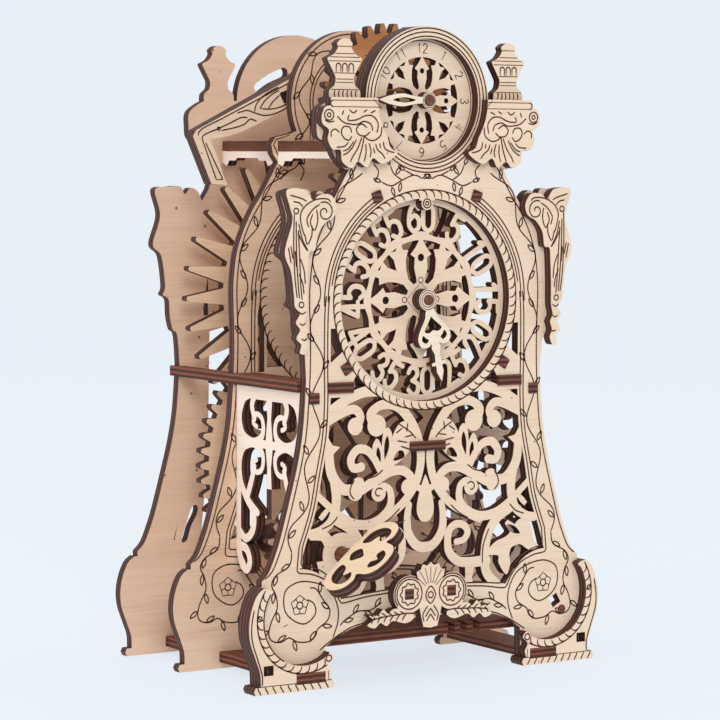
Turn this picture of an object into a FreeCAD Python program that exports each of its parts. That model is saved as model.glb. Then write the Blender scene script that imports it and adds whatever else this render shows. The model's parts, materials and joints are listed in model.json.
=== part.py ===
import FreeCAD, Part
import math
import os

# Laser-cut plywood mantel clock kit. Millimetres.
# +X is to the right of somebody who faces the dial, +Y goes into the clock, +Z is up.
# The origin is on the floor, under the centre of the whole assembly.

V = FreeCAD.Vector
os.makedirs("parts", exist_ok=True)

# ---- driving dimensions ------------------------------------------------------------
PLY = 3.0                  # sheet thickness, which sets every layer
FRONT = -25.65             # front face of the front plate
MIDDLE = FRONT + 39.8      # front face of the middle plate
BACK = FRONT + 71.8        # front face of the back plate
TENON_OUT = 1.0            # plank tenons stand this far past the back plate
REAR_END = BACK + PLY + TENON_OUT
KEY_FRONT = -REAR_END      # the key's bow ends as far forward as the tenons end rearward

DIAL_Z = 108.1             # minute arbor and minute dial
TOP_Z = 164.8              # hour arbor and hour dial
GREAT_Z = 57.7             # great arbor
KEY_X, KEY_Z = -28.5, 37.0 # winding arbor
DIAL_HOLE = 29.0           # opening of the minute dial
BEZEL_IN, BEZEL_OUT = 17.5, 21.0

ARBOR = 1.5                # radius of the plain arbors
KEY_ARBOR = 2.2
KEY_TANG = 1.55            # half width of the key's tang, which sits in the slotted arbor
CLEAR = 0.13               # running clearance, on radius
STEP = 0.8                 # longest straight piece of a cut outline

GREAT_TEETH, DRIVE_TEETH = 60, 12
WIND_TEETH, KEY_TEETH = 38, 12
MINUTE_TEETH, IDLER_TEETH = 8, 32
IDLER_PINION_TEETH, HOUR_TEETH = 10, 30
SPIKES = 30
IDLER_Z = (TOP_Z + DIAL_Z) / 2      # the idler stands halfway between the two dials
MODULE_MOTION = 2 * (IDLER_Z - DIAL_Z) / (MINUTE_TEETH + IDLER_TEETH)

HAND_TURN = -12.0          # the minute hand stands at 28 minutes
KEY_ANGLE = 40.0           # plane of the key's bow, from +X towards +Z

Y_WIND = FRONT + 24.0
Y_MOTION = FRONT + 13.5
Y_HOUR = FRONT + 20.0
Y_GREAT = FRONT + 54.0
Y_SUN = FRONT + 62.0
Y_GABLE = FRONT + 46.0


# ---- outline helpers ---------------------------------------------------------------
def curve(points, closed=False):
    """Short straight pieces along a Catmull-Rom curve through the points."""
    count = len(points)
    out = []
    for i in range(count if closed else count - 1):
        if closed:
            p0, p1, p2, p3 = (points[(i + k - 1) % count] for k in range(4))
        else:
            p0, p1 = points[max(i - 1, 0)], points[i]
            p2, p3 = points[i + 1], points[min(i + 2, count - 1)]
        pieces = max(1, math.ceil(math.dist(p1, p2) / STEP))
        for k in range(pieces):
            t = k / pieces
            out.append(tuple(
                0.5 * (2 * b + (c - a) * t + (2 * a - 5 * b + 4 * c - d) * t ** 2
                       + (3 * b - a - 3 * c + d) * t ** 3)
                for a, b, c, d in zip(p0, p1, p2, p3)))
    if not closed:
        out.append(tuple(points[-1]))
    return out


def arc(cx, cz, r, start, end):
    """Points on an arc, angles in degrees from +X towards +Z."""
    pieces = max(2, math.ceil(abs(math.radians(end - start)) * r / STEP))
    angles = [math.radians(start + (end - start) * k / pieces) for k in range(pieces + 1)]
    return [(cx + r * math.cos(a), cz + r * math.sin(a)) for a in angles]


def mirror(points):
    return [(-x, z) for x, z in reversed(points)]


def symmetric(points):
    """A whole outline from its right half, which starts and ends on x = 0."""
    return list(points) + mirror(points)


def outline(points):
    """Drop points that fall on their neighbour."""
    kept = []
    for p in points:
        if not kept or math.dist(p, kept[-1]) > 0.02:
            kept.append(p)
    if math.dist(kept[0], kept[-1]) < 0.02:
        kept.pop()
    return kept


def plate(points, y):
    """A flat face in the XZ plane at depth y; a sheet is cut from such faces and then thickened."""
    kept = outline(points)
    doubled = sum(a[0] * b[1] - b[0] * a[1] for a, b in zip(kept, kept[1:] + kept[:1]))
    if doubled < 0:
        kept.reverse()
    corners = [V(x, y, z) for x, z in kept]
    return Part.Face(Part.makePolygon(corners + [corners[0]]))


def spot(cx, cz, r, y):
    """A round flat face at depth y."""
    return Part.Face(Part.Wire(Part.makeCircle(r, V(cx, y, cz), V(0, -1, 0))))


def patch(x0, x1, z0, z1, y):
    return plate([(x0, z0), (x1, z0), (x1, z1), (x0, z1)], y)


def turned_patch(cx, cz, width, y, angle):
    """A square flat face turned about its centre."""
    half = width / math.sqrt(2)
    corners = [math.radians(45 + angle + 90 * k) for k in range(4)]
    return plate([(cx + half * math.cos(t), cz + half * math.sin(t)) for t in corners], y)


def sheet(face, thick=PLY):
    """The solid of a cut sheet, from its front face."""
    solids = []
    for one in face.Faces:
        solids += one.extrude(V(0, thick, 0)).Solids
    return solids[0] if len(solids) == 1 else Part.makeCompound(solids)


def disc(cx, cz, r, y, thick=PLY):
    return Part.makeCylinder(r, thick, V(cx, y, cz), V(0, 1, 0))


def ring(cx, cz, r_out, r_in, y, thick=PLY):
    return disc(cx, cz, r_out, y, thick).cut(disc(cx, cz, r_in, y, thick))


def block(x0, x1, y0, y1, z0, z1):
    return Part.makeBox(x1 - x0, y1 - y0, z1 - z0, V(x0, y0, z0))


def turned_block(cx, cz, width, y, length, angle):
    """A square peg along Y, turned about its own axis."""
    peg = block(-width / 2, width / 2, y, y + length, -width / 2, width / 2)
    peg.rotate(V(0, 0, 0), V(0, 1, 0), -angle)
    peg.translate(V(cx, 0, cz))
    return peg


def stroke(points, widths, y, closed_ends=True):
    """A cut scroll: a band along a curve whose width changes along it."""
    line = curve(points)
    lengths = [0.0]
    for a, b in zip(line, line[1:]):
        lengths.append(lengths[-1] + math.dist(a, b))
    left, right = [], []
    for i, (x, z) in enumerate(line):
        a, b = line[max(i - 1, 0)], line[min(i + 1, len(line) - 1)]
        tx, tz = b[0] - a[0], b[1] - a[1]
        size = math.hypot(tx, tz)
        place = lengths[i] / lengths[-1] * (len(widths) - 1)
        k = min(int(place), len(widths) - 2)
        half = (widths[k] + (widths[k + 1] - widths[k]) * (place - k)) / 2
        left.append((x - tz / size * half, z + tx / size * half))
        right.append((x + tz / size * half, z - tx / size * half))
    band = plate(left + right[::-1], y)
    if closed_ends:
        for (x, z), w in ((line[0], widths[0]), (line[-1], widths[-1])):
            if w > 1.0:
                band = band.fuse(spot(x, z, w / 2, y))
    return band


def joined(faces):
    """The union of flat faces that lie in one plane."""
    whole = faces[0].multiFuse(faces[1:])
    return Part.Shell(whole.Faces).removeSplitter()


def welded(solids):
    return solids[0].multiFuse(solids[1:]).removeSplitter()


def flipped(shape):
    return shape.mirror(V(0, 0, 0), V(1, 0, 0))


def both(shapes):
    """The shapes and their mirror images."""
    return list(shapes) + [flipped(s) for s in shapes]


def gear(cx, cz, module, teeth, y, phase, bore, windows=0, hub=0.0):
    """A flat wooden gear with straight-flanked teeth; phase is the angle of a tooth."""
    pitch_r = module * teeth / 2
    root, tip = pitch_r - 1.15 * module, pitch_r + 0.85 * module
    step = 360.0 / teeth
    at_root, at_pitch, at_tip = 0.33 * step, 0.225 * step, 0.11 * step
    points = []
    for i in range(teeth):
        middle = phase + i * step
        for r, a in ((root, -at_root), (pitch_r, -at_pitch), (tip, -at_tip),
                     (tip, at_tip), (pitch_r, at_pitch), (root, at_root)):
            t = math.radians(middle + a)
            points.append((cx + r * math.cos(t), cz + r * math.sin(t)))
    wheel = plate(points, y)
    rim_in = root - 4.2
    for i in range(windows):
        a0, a1 = 360.0 * i / windows + phase, 360.0 * (i + 1) / windows + phase
        gap_out, gap_in = math.degrees(2.2 / rim_in), math.degrees(2.2 / (hub + 2))
        window = arc(cx, cz, rim_in, a0 + gap_out, a1 - gap_out)
        window += arc(cx, cz, hub + 2, a1 - gap_in, a0 + gap_in)
        wheel = wheel.cut(plate(window, y))
    return sheet(bored(wheel, cx, cz, bore, y))


def save(name, shape):
    solids = shape.Solids
    whole = solids[0] if len(solids) == 1 else Part.makeCompound(solids)
    whole.exportStep("parts/" + name + ".step")


def bored(face, cx, cz, r, y):
    return face.cut(spot(cx, cz, r, y))


# ---- shared outline of the three plates (right half, bottom to top) -----------------
LEG_OUT = [(54.6, 31.2), (52.3, 33.6), (50.3, 38), (48.2, 44), (44.3, 58), (42.6, 65), (41.4, 72),
           (40.7, 80), (40.2, 90), (40.2, 100), (40.5, 108), (40.3, 114), (39.3, 121), (37.2, 127),
           (34.2, 133), (30.8, 138), (25.2, 147.5)]
LEG_IN = [(42.5, 33.4), (40.5, 40), (37, 50), (35, 60), (33, 70), (32.3, 80)]
VOLUTE = (42.4, 20.8)
VOLUTE_R = 13.0
WING = [(40.2, 84), (41, 95), (42.6, 97), (43.6, 101), (44, 106), (46, 107.5), (45.2, 110),
        (46.5, 119), (49.3, 122.5), (46.9, 131), (48.6, 138.6), (44, 139.5), (40, 139.6),
        (38.5, 137.3), (36.5, 139.2), (34, 138), (32.4, 134.5)]
CORBEL = [(16, 146.5), (20, 145.5), (24.6, 146.6), (27.5, 145.2), (31, 148.5), (33.2, 152.5), (36.6, 154),
          (37.2, 157.5), (37, 161.5), (34, 164), (31.5, 165.2)]
URN = [(5.2, 165), (5.0, 167.2), (3.4, 168.6), (3.0, 170.6), (3.6, 172), (5.4, 175.2),
       (5.6, 176.2), (3.6, 177.2), (2.2, 179.2), (2.6, 180.2), (1.2, 181.4), (0, 181.6)]


def foot_outline():
    """Foot, apron and inner edges of the leg, from the floor to the window."""
    return ([(33.2, 0), (58.2, 0), (58.8, 1.15), (58.2, 2.3), (56.6, 2.3)]
            + curve([(56.6, 2.3), (56.8, 6), (58.2, 10), (60, 15), (60.4, 19.5), (59.6, 24),
                     (57.8, 28), (55.6, 29.8)]))


def urn(cx, y):
    side = curve(URN)
    return plate([(cx + x, z) for x, z in side] + [(cx - x, z) for x, z in side[::-1]], y)


def leg(y, with_block):
    """One leg with its volute, down to the floor where it carries the foot block."""
    shapes = [plate(curve(LEG_OUT) + [(20, 147.5), (20, 141)]
                    + arc(0, DIAL_Z, DIAL_HOLE + 2, 57, 5) + [(32.3, 102.4), (32.3, 80)]
                    + curve(LEG_IN)[::-1] + [(42, 26), (54.6, 26)], y),
              spot(VOLUTE[0], VOLUTE[1], VOLUTE_R, y)]
    if with_block:
        body = foot_outline() + [(50, 29.2)] + arc(VOLUTE[0], VOLUTE[1], 6, 60, 200)
        body += curve([(33.9, 11.5), (33.4, 8.5), (34.6, 6.4), (34, 4.2), (34.2, 2.3)]) + [(33.2, 2.3), (32.6, 1.15)]
        shapes.append(plate(body, y))
    return shapes


def apron(y):
    right = (curve([(0, 26.6), (13, 26), (21, 25.3), (28.5, 24.3)]) + [(31.5, 28.5), (38, 28), (38, 12)]
             + curve([(36, 9.4), (33, 11.6), (30, 13.6), (25, 15.6), (20, 16.6), (10, 17), (0, 17)]))
    return plate(symmetric(right), y)


def shoulder(y):
    """The plate between the two dials."""
    return plate(symmetric([(0, 151), (17, 151), (17, 146.4), (24.8, 146.4), (29.4, 138.6), (20, 131), (0, 131)]), y)


ROSETTE = (7.3, 24.4)                   # centre of the apron rosettes
FOOT_SLOT = (35.5, 45.0, 1.9, 4.9)      # x from, x to, z from, z to, of the bottom planks
SHELF = (33.0, 41.4, 83.0, 86.0)        # side shelves, as far back as the middle plate
SHELF_TAIL = (38.2, 41.4, 83.0, 86.0)   # their narrow tails, which clear the wheels
RAIL = (22.5, 25.5, 150.2, 153.2)       # square roof rails
WEDGE = (25.0, 33.2, 82.6, 85.6)        # wedges under the minute dial
BAR = (-5.5, 6.3, 65.0, 67.7)           # bar across the middle of the fretwork


def slots(shape, y, names):
    """Cut the plank slots through one plate, on both sides."""
    cuts = []
    for x0, x1, z0, z1 in names:
        cuts.append(patch(x0 - 0.05, x1 + 0.05, z0 - 0.05, z1 + 0.05, y))
    for tool in both(cuts):
        shape = shape.cut(tool)
    return shape


# ---- front plate --------------------------------------------------------------------
def front_fretwork(y):
    """Scrolls of the right half of the panel below the dial."""
    s = []
    s.append(stroke([(16.8, 73), (18.6, 76.2), (15.5, 78.6), (10.5, 78.3), (6.5, 75.3), (3.0, 69.5),
                     (1.6, 63), (3.2, 56), (8, 50), (14, 46.5), (19, 44.4)],
                    [4.6, 2.6, 2.8, 3.0, 3.0, 2.8, 2.6, 2.6, 2.6, 2.8, 2.8], y))
    s.append(spot(16.8, 72.9, 3.1, y))
    s.append(stroke([(33, 75), (28, 77.2), (24.2, 77.8), (22.3, 75.6), (23.9, 73)], [2.8, 2.8, 2.6, 2.6, 3.4], y))
    s.append(spot(24, 73, 2.5, y))
    s.append(stroke([(16, 82.6), (21, 82.6), (27, 80.6), (33, 77)], [3.0, 3.0, 3.0, 3.2], y))
    s.append(plate(curve([(14.6, 60.4), (9, 62.2), (4.2, 66.8), (3.0, 70.5), (4.6, 73.6), (8.6, 73.4),
                          (11, 70.4), (12.4, 66.5)], closed=True), y)
             .cut(plate(curve([(7.4, 63.4), (11, 62.6), (9.6, 65.2), (7.8, 65.2)], closed=True), y)))
    s.append(plate(curve([(14.8, 60.6), (11.8, 66), (11.6, 70.4), (13.3, 72.2), (14.8, 69.6)], closed=True), y)
             .cut(plate(curve([(13.9, 62.8), (12.5, 67), (13.2, 69.8), (14.2, 67)], closed=True), y)))
    s.append(plate(curve([(14.6, 60.6), (14.8, 66), (16.6, 69.2), (18.2, 66.8), (17.4, 63.5)], closed=True), y)
             .cut(plate(curve([(15.6, 61.8), (15.4, 64.6), (16.3, 66.8), (16.9, 64.4)], closed=True), y)))
    s.append(stroke([(15.6, 60.3), (17.6, 63.6), (20, 66), (23.2, 66.4), (25.4, 63.8), (24.6, 61.2), (22, 61.4)],
                    [2.2, 2.2, 2.4, 2.6, 2.6, 2.4, 2.6], y))
    s.append(stroke([(5.8, 54.6), (4.9, 57.2), (7.6, 59.5), (12, 59.6), (16.5, 57.6), (21.6, 55)],
                    [3.2, 2.6, 2.8, 3.0, 3.0, 3.0], y))
    s.append(spot(6.0, 54.8, 2.3, y))
    s.append(plate(curve([(21.2, 57.8), (23.4, 58.5), (24.8, 57.2), (24.6, 54.4), (26.2, 53.2), (24.4, 51.9),
                          (22.2, 52.4), (21.2, 54.6)], closed=True), y))
    s.append(stroke([(24, 55.2), (28, 55.4), (31, 58.4), (32.4, 62), (32.6, 67.5)], [3.0, 3.2, 3.2, 3.0, 2.4], y))
    s.append(plate([(33.2, 70.6), (33.2, 65.6), (31.4, 65.4), (29.0, 67.4), (31.6, 68.0)], y))
    s.append(stroke([(31, 58.5), (30.2, 52.5), (31.6, 47), (35.2, 44.2), (38.6, 43.4)],
                    [3.0, 3.0, 2.9, 2.7, 2.6], y))
    s.append(stroke([(31, 49.4), (36.6, 54.2)], [2.0, 2.0], y, closed_ends=False))
    s.append(stroke([(35.6, 47.4), (34.4, 48.6), (33, 50)], [1.4, 1.8, 1.2], y, closed_ends=False))
    s.append(stroke([(16, 53.6), (14.8, 55.6), (12.2, 54.2), (12.0, 50), (14.8, 46.7), (19.5, 44.9), (25, 45.6),
                     (30.4, 48.6)], [2.0, 2.0, 2.4, 2.6, 2.7, 2.8, 2.8, 2.8], y))
    s.append(spot(16, 53.6, 2.4, y))
    s.append(stroke([(10.9, 37.9), (13.6, 38.4), (14.9, 40.6), (13.4, 42.6), (10.6, 43.0), (8.4, 41.4), (7.9, 38.6)],
                    [1.8, 2.0, 2.2, 2.2, 2.3, 2.3, 2.3], y))
    s.append(stroke([(7.9, 40.4), (8.2, 35.6), (11.2, 32.4), (15.5, 31.6), (21.5, 31.7)],
                    [2.3, 2.6, 2.8, 3.0, 3.2], y))
    s.append(stroke([(29.6, 46.4), (25, 43.6), (22.0, 39), (21.0, 33), (21.8, 28), (25.4, 24.4)],
                    [2.8, 2.9, 3.0, 3.0, 3.0, 2.8], y))
    s.append(plate([(14.0, 31.5), (17.6, 31.5), (16.6, 27), (16.9, 25), (13.6, 25), (14.2, 28)], y))
    return s


def front_centre(y):
    """Loop and drop on the centre line of the fretwork."""
    loop = [(5.6, 49.6), (6.2, 46), (5.8, 41.6), (3.2, 38), (0, 37.1)]
    loop += [(-x, z) for x, z in reversed(loop[:-1])]
    drop = curve([(0, 44.4), (1.6, 44.9), (2.9, 47.4), (2.6, 51), (1.2, 55.6), (0, 58.2)])
    return [stroke(loop, [2.0, 2.7, 3.0, 2.7, 2.0], y), plate(symmetric(drop), y),
            stroke([(-3.9, 55.2), (0, 53.6), (3.9, 55.2)], [1.6, 2.2, 1.6], y)]


def leaf_bracket(y):
    """Right-hand leaf between the scroll and the leg."""
    body = plate(curve([(21.6, 33.6), (24.6, 36.8), (29.2, 38.6), (33, 42.8), (36.8, 42.6), (38.6, 36.6),
                        (40.4, 34.6), (37.6, 33.6), (36.0, 34.2), (33.6, 35.6), (30.6, 34.8), (29.8, 32.4), (30.2, 30.2),
                        (28.8, 27.0), (26.0, 30.6), (25.8, 32.8)], closed=True), y)
    slit = plate(curve([(28.9, 41.7), (31.8, 41.0), (33.6, 38.8), (30.4, 39.4)], closed=True), y)
    crest = stroke([(32.8, 38.8), (28.6, 42.6)], [3.8, 1.4], y, closed_ends=False)
    return [joined([body, crest]).cut(slit)]


def key_boss(y):
    """Left-hand disc that carries the winding arbor."""
    return [spot(KEY_X, KEY_Z, 6.2, y),
            stroke([(KEY_X - 4, KEY_Z + 3.2), (-34.4, 42.6), (-38.8, 43.2)], [3.4, 3.0, 3.0], y, closed_ends=False),
            stroke([(KEY_X - 4, KEY_Z - 3), (-36, 33)], [3.6, 5.0], y, closed_ends=False),
            stroke([(KEY_X + 4, KEY_Z + 2), (-21.8, 41)], [3.4, 3.4], y, closed_ends=False),
            stroke([(KEY_X + 3, KEY_Z - 4), (-21.6, 31)], [3.0, 3.4], y, closed_ends=False)]


def front_plate():
    y = FRONT
    half = leg(y, False) + front_fretwork(y)
    half.append(plate(foot_outline() + [(50, 29.2), (36, 12), (33.9, 11.5), (34.2, 2.3), (33.2, 2.3), (32.6, 1.15)], y))
    half.append(plate(curve(WING) + [(31, 134), (34, 120), (34, 84)], y))
    half.append(plate(curve(CORBEL) + [(15, 165.2), (12, 150)], y))
    half.append(patch(14, 34.4, 163, 165.2, y))
    half.append(urn(28, y))
    half.append(plate([(23.6, 87.6), (25, 85.4), (25, 81.4), (33, 81.4), (33, 91.2), (32, 91.4), (28.3, 94.2), (26, 93)], y))
    half.append(patch(30, 33, 100.8, 112, y))
    right = joined(half)
    left = joined([flipped(right)] + key_boss(y))
    right = joined([right] + leaf_bracket(y))
    whole = joined([left, right, apron(y), shoulder(y), spot(0, TOP_Z, BEZEL_OUT, y),
                    spot(0, DIAL_Z, DIAL_HOLE + 2.4, y)])
    whole = bored(whole, 0, DIAL_Z, DIAL_HOLE, y)
    for face in front_centre(y):
        whole = joined([whole, face])
    whole = joined([whole, spot(0, 135.6, 1.9, y), patch(-2.6, 2.6, 136.4, 137.8, y)])
    whole = bored(whole, 0, TOP_Z, BEZEL_IN, y)
    whole = slots(whole, y, [FOOT_SLOT, WEDGE, RAIL]).cut(patch(*[v + d for v, d in zip(BAR, (-0.05, 0.05, -0.05, 0.05))], y))
    for x, z, w, a in PEGS:
        whole = whole.cut(turned_patch(x, z, w + 0.1, y, a))
    for sx in (-1, 1):
        whole = whole.cut(turned_patch(sx * 54.1, 6.7, 3.0, y, 0))
    whole = whole.cut(turned_patch(46.5, 18, 3.2, y, 30))
    whole = bored(whole, 49, 15.2, 1.25, y)
    return sheet(bored(whole, KEY_X, KEY_Z, KEY_ARBOR + CLEAR, y))


PEGS = [(sx * x, z, 3.0, sx * a) for sx in (-1, 1)
        for x, z, a in ((17.1, 137.6, -20), (27.0, 89.5, -32), (37.75, 81.4, 0), (7.3, 24.4, 0))]


# ---- middle and back plates -----------------------------------------------------------
def middle_plate():
    y = MIDDLE
    half = leg(y, True)
    half.append(plate([(10, 150), (19, 147), (24.4, 145.6), (27.2, 149.4), (27.8, 152.2), (26.4, 154.2), (21, 155.4), (10, 160)], y))
    half.append(plate([(14, 84), (34, 80.6), (34, 86), (30, 86), (30, 101), (22, 101), (14, 96)], y)
                .cut(plate([(22.4, 87.4), (29.2, 87.4), (29.2, 100.4), (27.4, 95)], y)))
    half.append(stroke([(6.6, 21), (7, 40), (8, 55), (12, 66), (22, 71), (33.4, 72)], [5, 4.4, 5, 4, 4, 4.4], y))
    half.append(stroke([(7, 37), (20, 36.5), (31, 37.2), (41, 35)], [4.6, 4.2, 4.6, 5], y))
    half.append(spot(28.5, 37, 5.6, y))
    right = joined(half)
    whole = joined([right, flipped(right), apron(y), shoulder(y), spot(0, TOP_Z, BEZEL_OUT, y),
                    spot(0, DIAL_Z, 31.5, y), spot(0, GREAT_Z, 9, y), patch(-6, 6, GREAT_Z, 80, y)])
    whole = slots(whole, y, [FOOT_SLOT, SHELF_TAIL, RAIL])
    for x, z, r in ((0, DIAL_Z, ARBOR + CLEAR), (0, TOP_Z, ARBOR + CLEAR), (0, GREAT_Z, ARBOR + CLEAR),
                    (KEY_X, KEY_Z, KEY_ARBOR + CLEAR), (0, IDLER_Z, ARBOR)):
        whole = bored(whole, x, z, r, y)
    return sheet(whole)


def back_plate():
    y = BACK
    half = leg(y, True)
    half.append(plate(curve(WING) + [(31, 134), (34, 120), (34, 84)], y))
    half.append(plate([(15, 147)] + curve(CORBEL) + [(12, 165.2), (12, 150)], y))
    half.append(urn(26.8, y))
    half.append(plate([(29.9, 101), (34, 101), (36, 60), (42, 34), (36, 28), (33, 33), (30.5, 60)], y))
    half.append(plate([(6, 100.6), (30.6, 100.6)] + curve([(30.6, 96), (19, 97.5), (6, 91.6)]), y))
    half.append(plate(curve([(6, 36), (19, 29.5), (31, 32)]) + [(36, 29), (31, 25.4), (6, 24)], y))
    right = joined(half)
    body = symmetric([(0, 158), (24, 158), (30.5, 138.2), (30.5, 99.6), (0, 99.6)])
    whole = joined([right, flipped(right), apron(y), plate(body, y), patch(-8, 8, 18, 102, y),
                    spot(0, TOP_Z, 20.6, y), patch(-16, 16, 150, 165.2, y)])
    whole = slots(whole, y, [FOOT_SLOT, SHELF_TAIL, RAIL])
    slit = curve([(-39.6, 33.2), (-37.8, 33.4), (-36.4, 37.4), (-34.2, 41.4), (-34.2, 43.6), (-36, 43.4), (-38, 38.4)],
                 closed=True)
    whole = whole.cut(plate(slit, y)).cut(stroke([(-13, 169.4), (-9, 172), (-4.2, 174)], [3.0, 3.0, 3.0], y))
    for x, z in ((0, DIAL_Z), (0, GREAT_Z)):
        whole = bored(whole, x, z, ARBOR + CLEAR, y)
    return sheet(whole)


# ---- overlays on the front plate ---------------------------------------------------------
def foot_scroll():
    y = FRONT - PLY
    block_part = plate(foot_outline() + [(53.8, 29.4)] + arc(42.2, 20.5, 13.4, 38, -125)
                       + curve([(34.2, 10.2), (32.8, 8.6), (34.6, 6.6), (33.6, 4.4), (34.2, 2.3)])
                       + [(33.2, 2.3), (32.6, 1.15)], y)
    block_part = block_part.cut(patch(FOOT_SLOT[0] - 0.05, FOOT_SLOT[1] + 0.05, FOOT_SLOT[2] - 0.05, FOOT_SLOT[3] + 0.05, y))
    return sheet(block_part.cut(patch(52.5, 55.7, 5.3, 8.1, y)))


def wing():
    y = FRONT - PLY
    pts = [(41.6, 96.5), (42.4, 98.5), (41.7, 101), (42.6, 103), (42.0, 106), (41.9, 112), (41.6, 119), (41.2, 122.5),
           (39.4, 123), (38.6, 127.2), (36.2, 130.4), (33.2, 132.2), (32.4, 135.2), (34.4, 138.2), (38, 138.2),
           (40.2, 136.8), (42.8, 139.6), (48.6, 139.6), (47.6, 134.8), (46.8, 131), (49.2, 122.5), (47.2, 117), (46.2, 110.4),
           (45.9, 107.4), (44.3, 105.4), (45.6, 103), (44.2, 101), (45.4, 98.6), (43.8, 96.8), (44.3, 94.6),
           (42.6, 94.2)]
    return sheet(plate(curve(pts, closed=True), y))


def corbel():
    y = FRONT - PLY
    pts = [(17, 163), (34, 163), (37, 161.2), (37.2, 158), (35, 156.2), (35.4, 153.6), (33.8, 150.8), (31.2, 150.6),
           (30.6, 147.4), (27.6, 145.6), (25.4, 147.4), (22.4, 145.8), (20.4, 148.4), (17, 146.8), (12.2, 149.8),
           (14.6, 151.4), (16, 155.6), (17.2, 159.4)]
    side = plate(curve(pts, closed=True), y)
    return sheet(joined([side, patch(16.4, 34.4, 162.4, 165.2, y)]).cut(spot(0, TOP_Z, BEZEL_OUT - 2.2, y)))


def palmette():
    """Fan, oval and two rosettes with leafy tails, fixed on the apron."""
    y = FRONT - PLY
    fan = curve([(0, 33.2), (1.2, 32.2), (2.8, 32.6), (3.4, 31.2), (4.8, 30.6), (4.4, 28.8), (3.4, 26.5)])
    stem = [(4.2, 22.0), (3.2, 17.6), (2.4, 14.6), (0, 14.2)]
    tail = curve([(8, 20), (5.6, 17.8), (8.4, 16.2), (13, 17.2), (15, 15.9), (17.2, 17), (19, 15.6), (21.6, 16.6),
                  (19.6, 18), (21, 19.3), (18, 19.2), (16.2, 20.8), (14.6, 19.4), (12.6, 20.6)], closed=True)
    faces = [plate(symmetric(fan + stem), y), plate(tail, y), plate(mirror(tail), y)]
    faces += [spot(sx * ROSETTE[0], ROSETTE[1], 5.4, y) for sx in (-1, 1)]
    whole = joined(faces)
    for sx in (-1, 1):
        whole = whole.cut(turned_patch(sx * ROSETTE[0], ROSETTE[1], 3.1, y, 0))
    return sheet(whole)


# ---- dials ---------------------------------------------------------------------------------
def dial_fret(cz, y, scale, ring_in):
    """Cross of pointed arms and tulip petals inside a scalloped ring."""
    def place(points):
        return [(x * scale, cz + z * scale) for x, z in points]

    def turned(points, angle):
        a = math.radians(angle)
        return [(x * math.cos(a) - z * math.sin(a), x * math.sin(a) + z * math.cos(a)) for x, z in points]

    arm = [(-1.3, 2), (-1.5, 6), (-2.3, 9.0), (-2.1, 12.0), (-3.6, 12.9), (-1.9, 14.9), (0, 18.0),
           (1.9, 14.9), (3.6, 12.9), (2.1, 12.0), (2.3, 9.0), (1.5, 6), (1.3, 2)]
    petal = [(2.6, 2.2), (3.9, 4.6), (5.0, 8.4), (5.2, 11.4), (4.4, 14.2), (6.3, 14.3), (7.4, 17.6),
             (8.7, 13.9), (11.4, 13.4), (9.3, 11.4), (8.4, 8.6), (6.9, 5.4), (4.4, 2.6)]
    shapes = [spot(0, cz, 5.0 * scale, y)]
    for quarter in range(4):
        shapes.append(plate(place(turned(arm, 90 * quarter)), y))
        shapes.append(plate(place(turned(petal, 90 * quarter)), y))
        shapes.append(plate(place(turned(mirror(petal), 90 * quarter)), y))
    whole = joined(shapes)
    for quarter in range(4):
        a = math.radians(90 * quarter)
        whole = bored(whole, 12 * scale * math.cos(a), cz + 12 * scale * math.sin(a), 1.1 * scale, y)
    return whole


# Cut-out numerals, each a pen path on a 5 wide, 8 high body.
DIGITS = {
    "0": [[(2.5, 7.2), (1.0, 6.2), (0.7, 4), (1.0, 1.8), (2.5, 0.8)], [(2.5, 0.8), (4.0, 1.8), (4.3, 4), (4.0, 6.2), (2.5, 7.2)]],
    "1": [[(1.2, 5.8), (2.6, 7.4)], [(2.6, 7.6), (2.6, 0.2)]],
    "2": [[(0.9, 5.6), (1.6, 7.0), (3.2, 7.1), (4.1, 5.7), (3.2, 3.8), (1.0, 1.0)], [(0.7, 0.7), (4.7, 0.7)]],
    "3": [[(0.9, 6.0), (1.9, 7.2), (3.5, 6.9), (3.9, 5.4), (2.4, 4.1)], [(2.2, 4.1), (4.1, 3.2), (4.0, 1.3), (2.4, 0.7),
          (0.9, 1.9)]],
    "4": [[(3.3, 7.5), (0.8, 2.6)], [(0.6, 2.4), (4.8, 2.4)], [(3.4, 7.5), (3.4, 0.2)]],
    "5": [[(4.3, 7.2), (1.3, 7.2)], [(1.3, 7.4), (1.1, 4.4)], [(1.1, 4.5), (2.7, 4.9), (4.2, 3.7), (3.9, 1.5), (2.2, 0.7),
          (0.9, 1.8)]],
    "6": [[(4.0, 6.2), (2.8, 7.2), (1.4, 6.2), (0.8, 4), (0.9, 2.1), (2.3, 0.8)],
          [(2.3, 0.8), (4.0, 1.6), (4.1, 3.6), (2.6, 4.6), (0.9, 3.4)]],
}


def numeral(text, radius, angle, cz, y, inward):
    """Digits standing on the dial, reaching from the scalloped ring to the rim."""
    shapes = []
    width = 4.9
    for i, digit in enumerate(text):
        shift = (i - (len(text) - 1) / 2) * width
        for path in DIGITS[digit]:
            points = []
            for px, pz in path:
                u, w = px - 2.5 + shift, (pz - 4) * 1.2
                if inward:
                    u, w = -u, -w
                points.append((u, radius + w))
            a = math.radians(90 - angle)
            ca, sa = math.cos(a - math.pi / 2), math.sin(a - math.pi / 2)
            points = [(u * ca - r * sa, cz + u * sa + r * ca) for u, r in points]
            shapes.append(stroke(points, [1.3, 1.5, 1.3], y))
    return joined(shapes)


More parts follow.
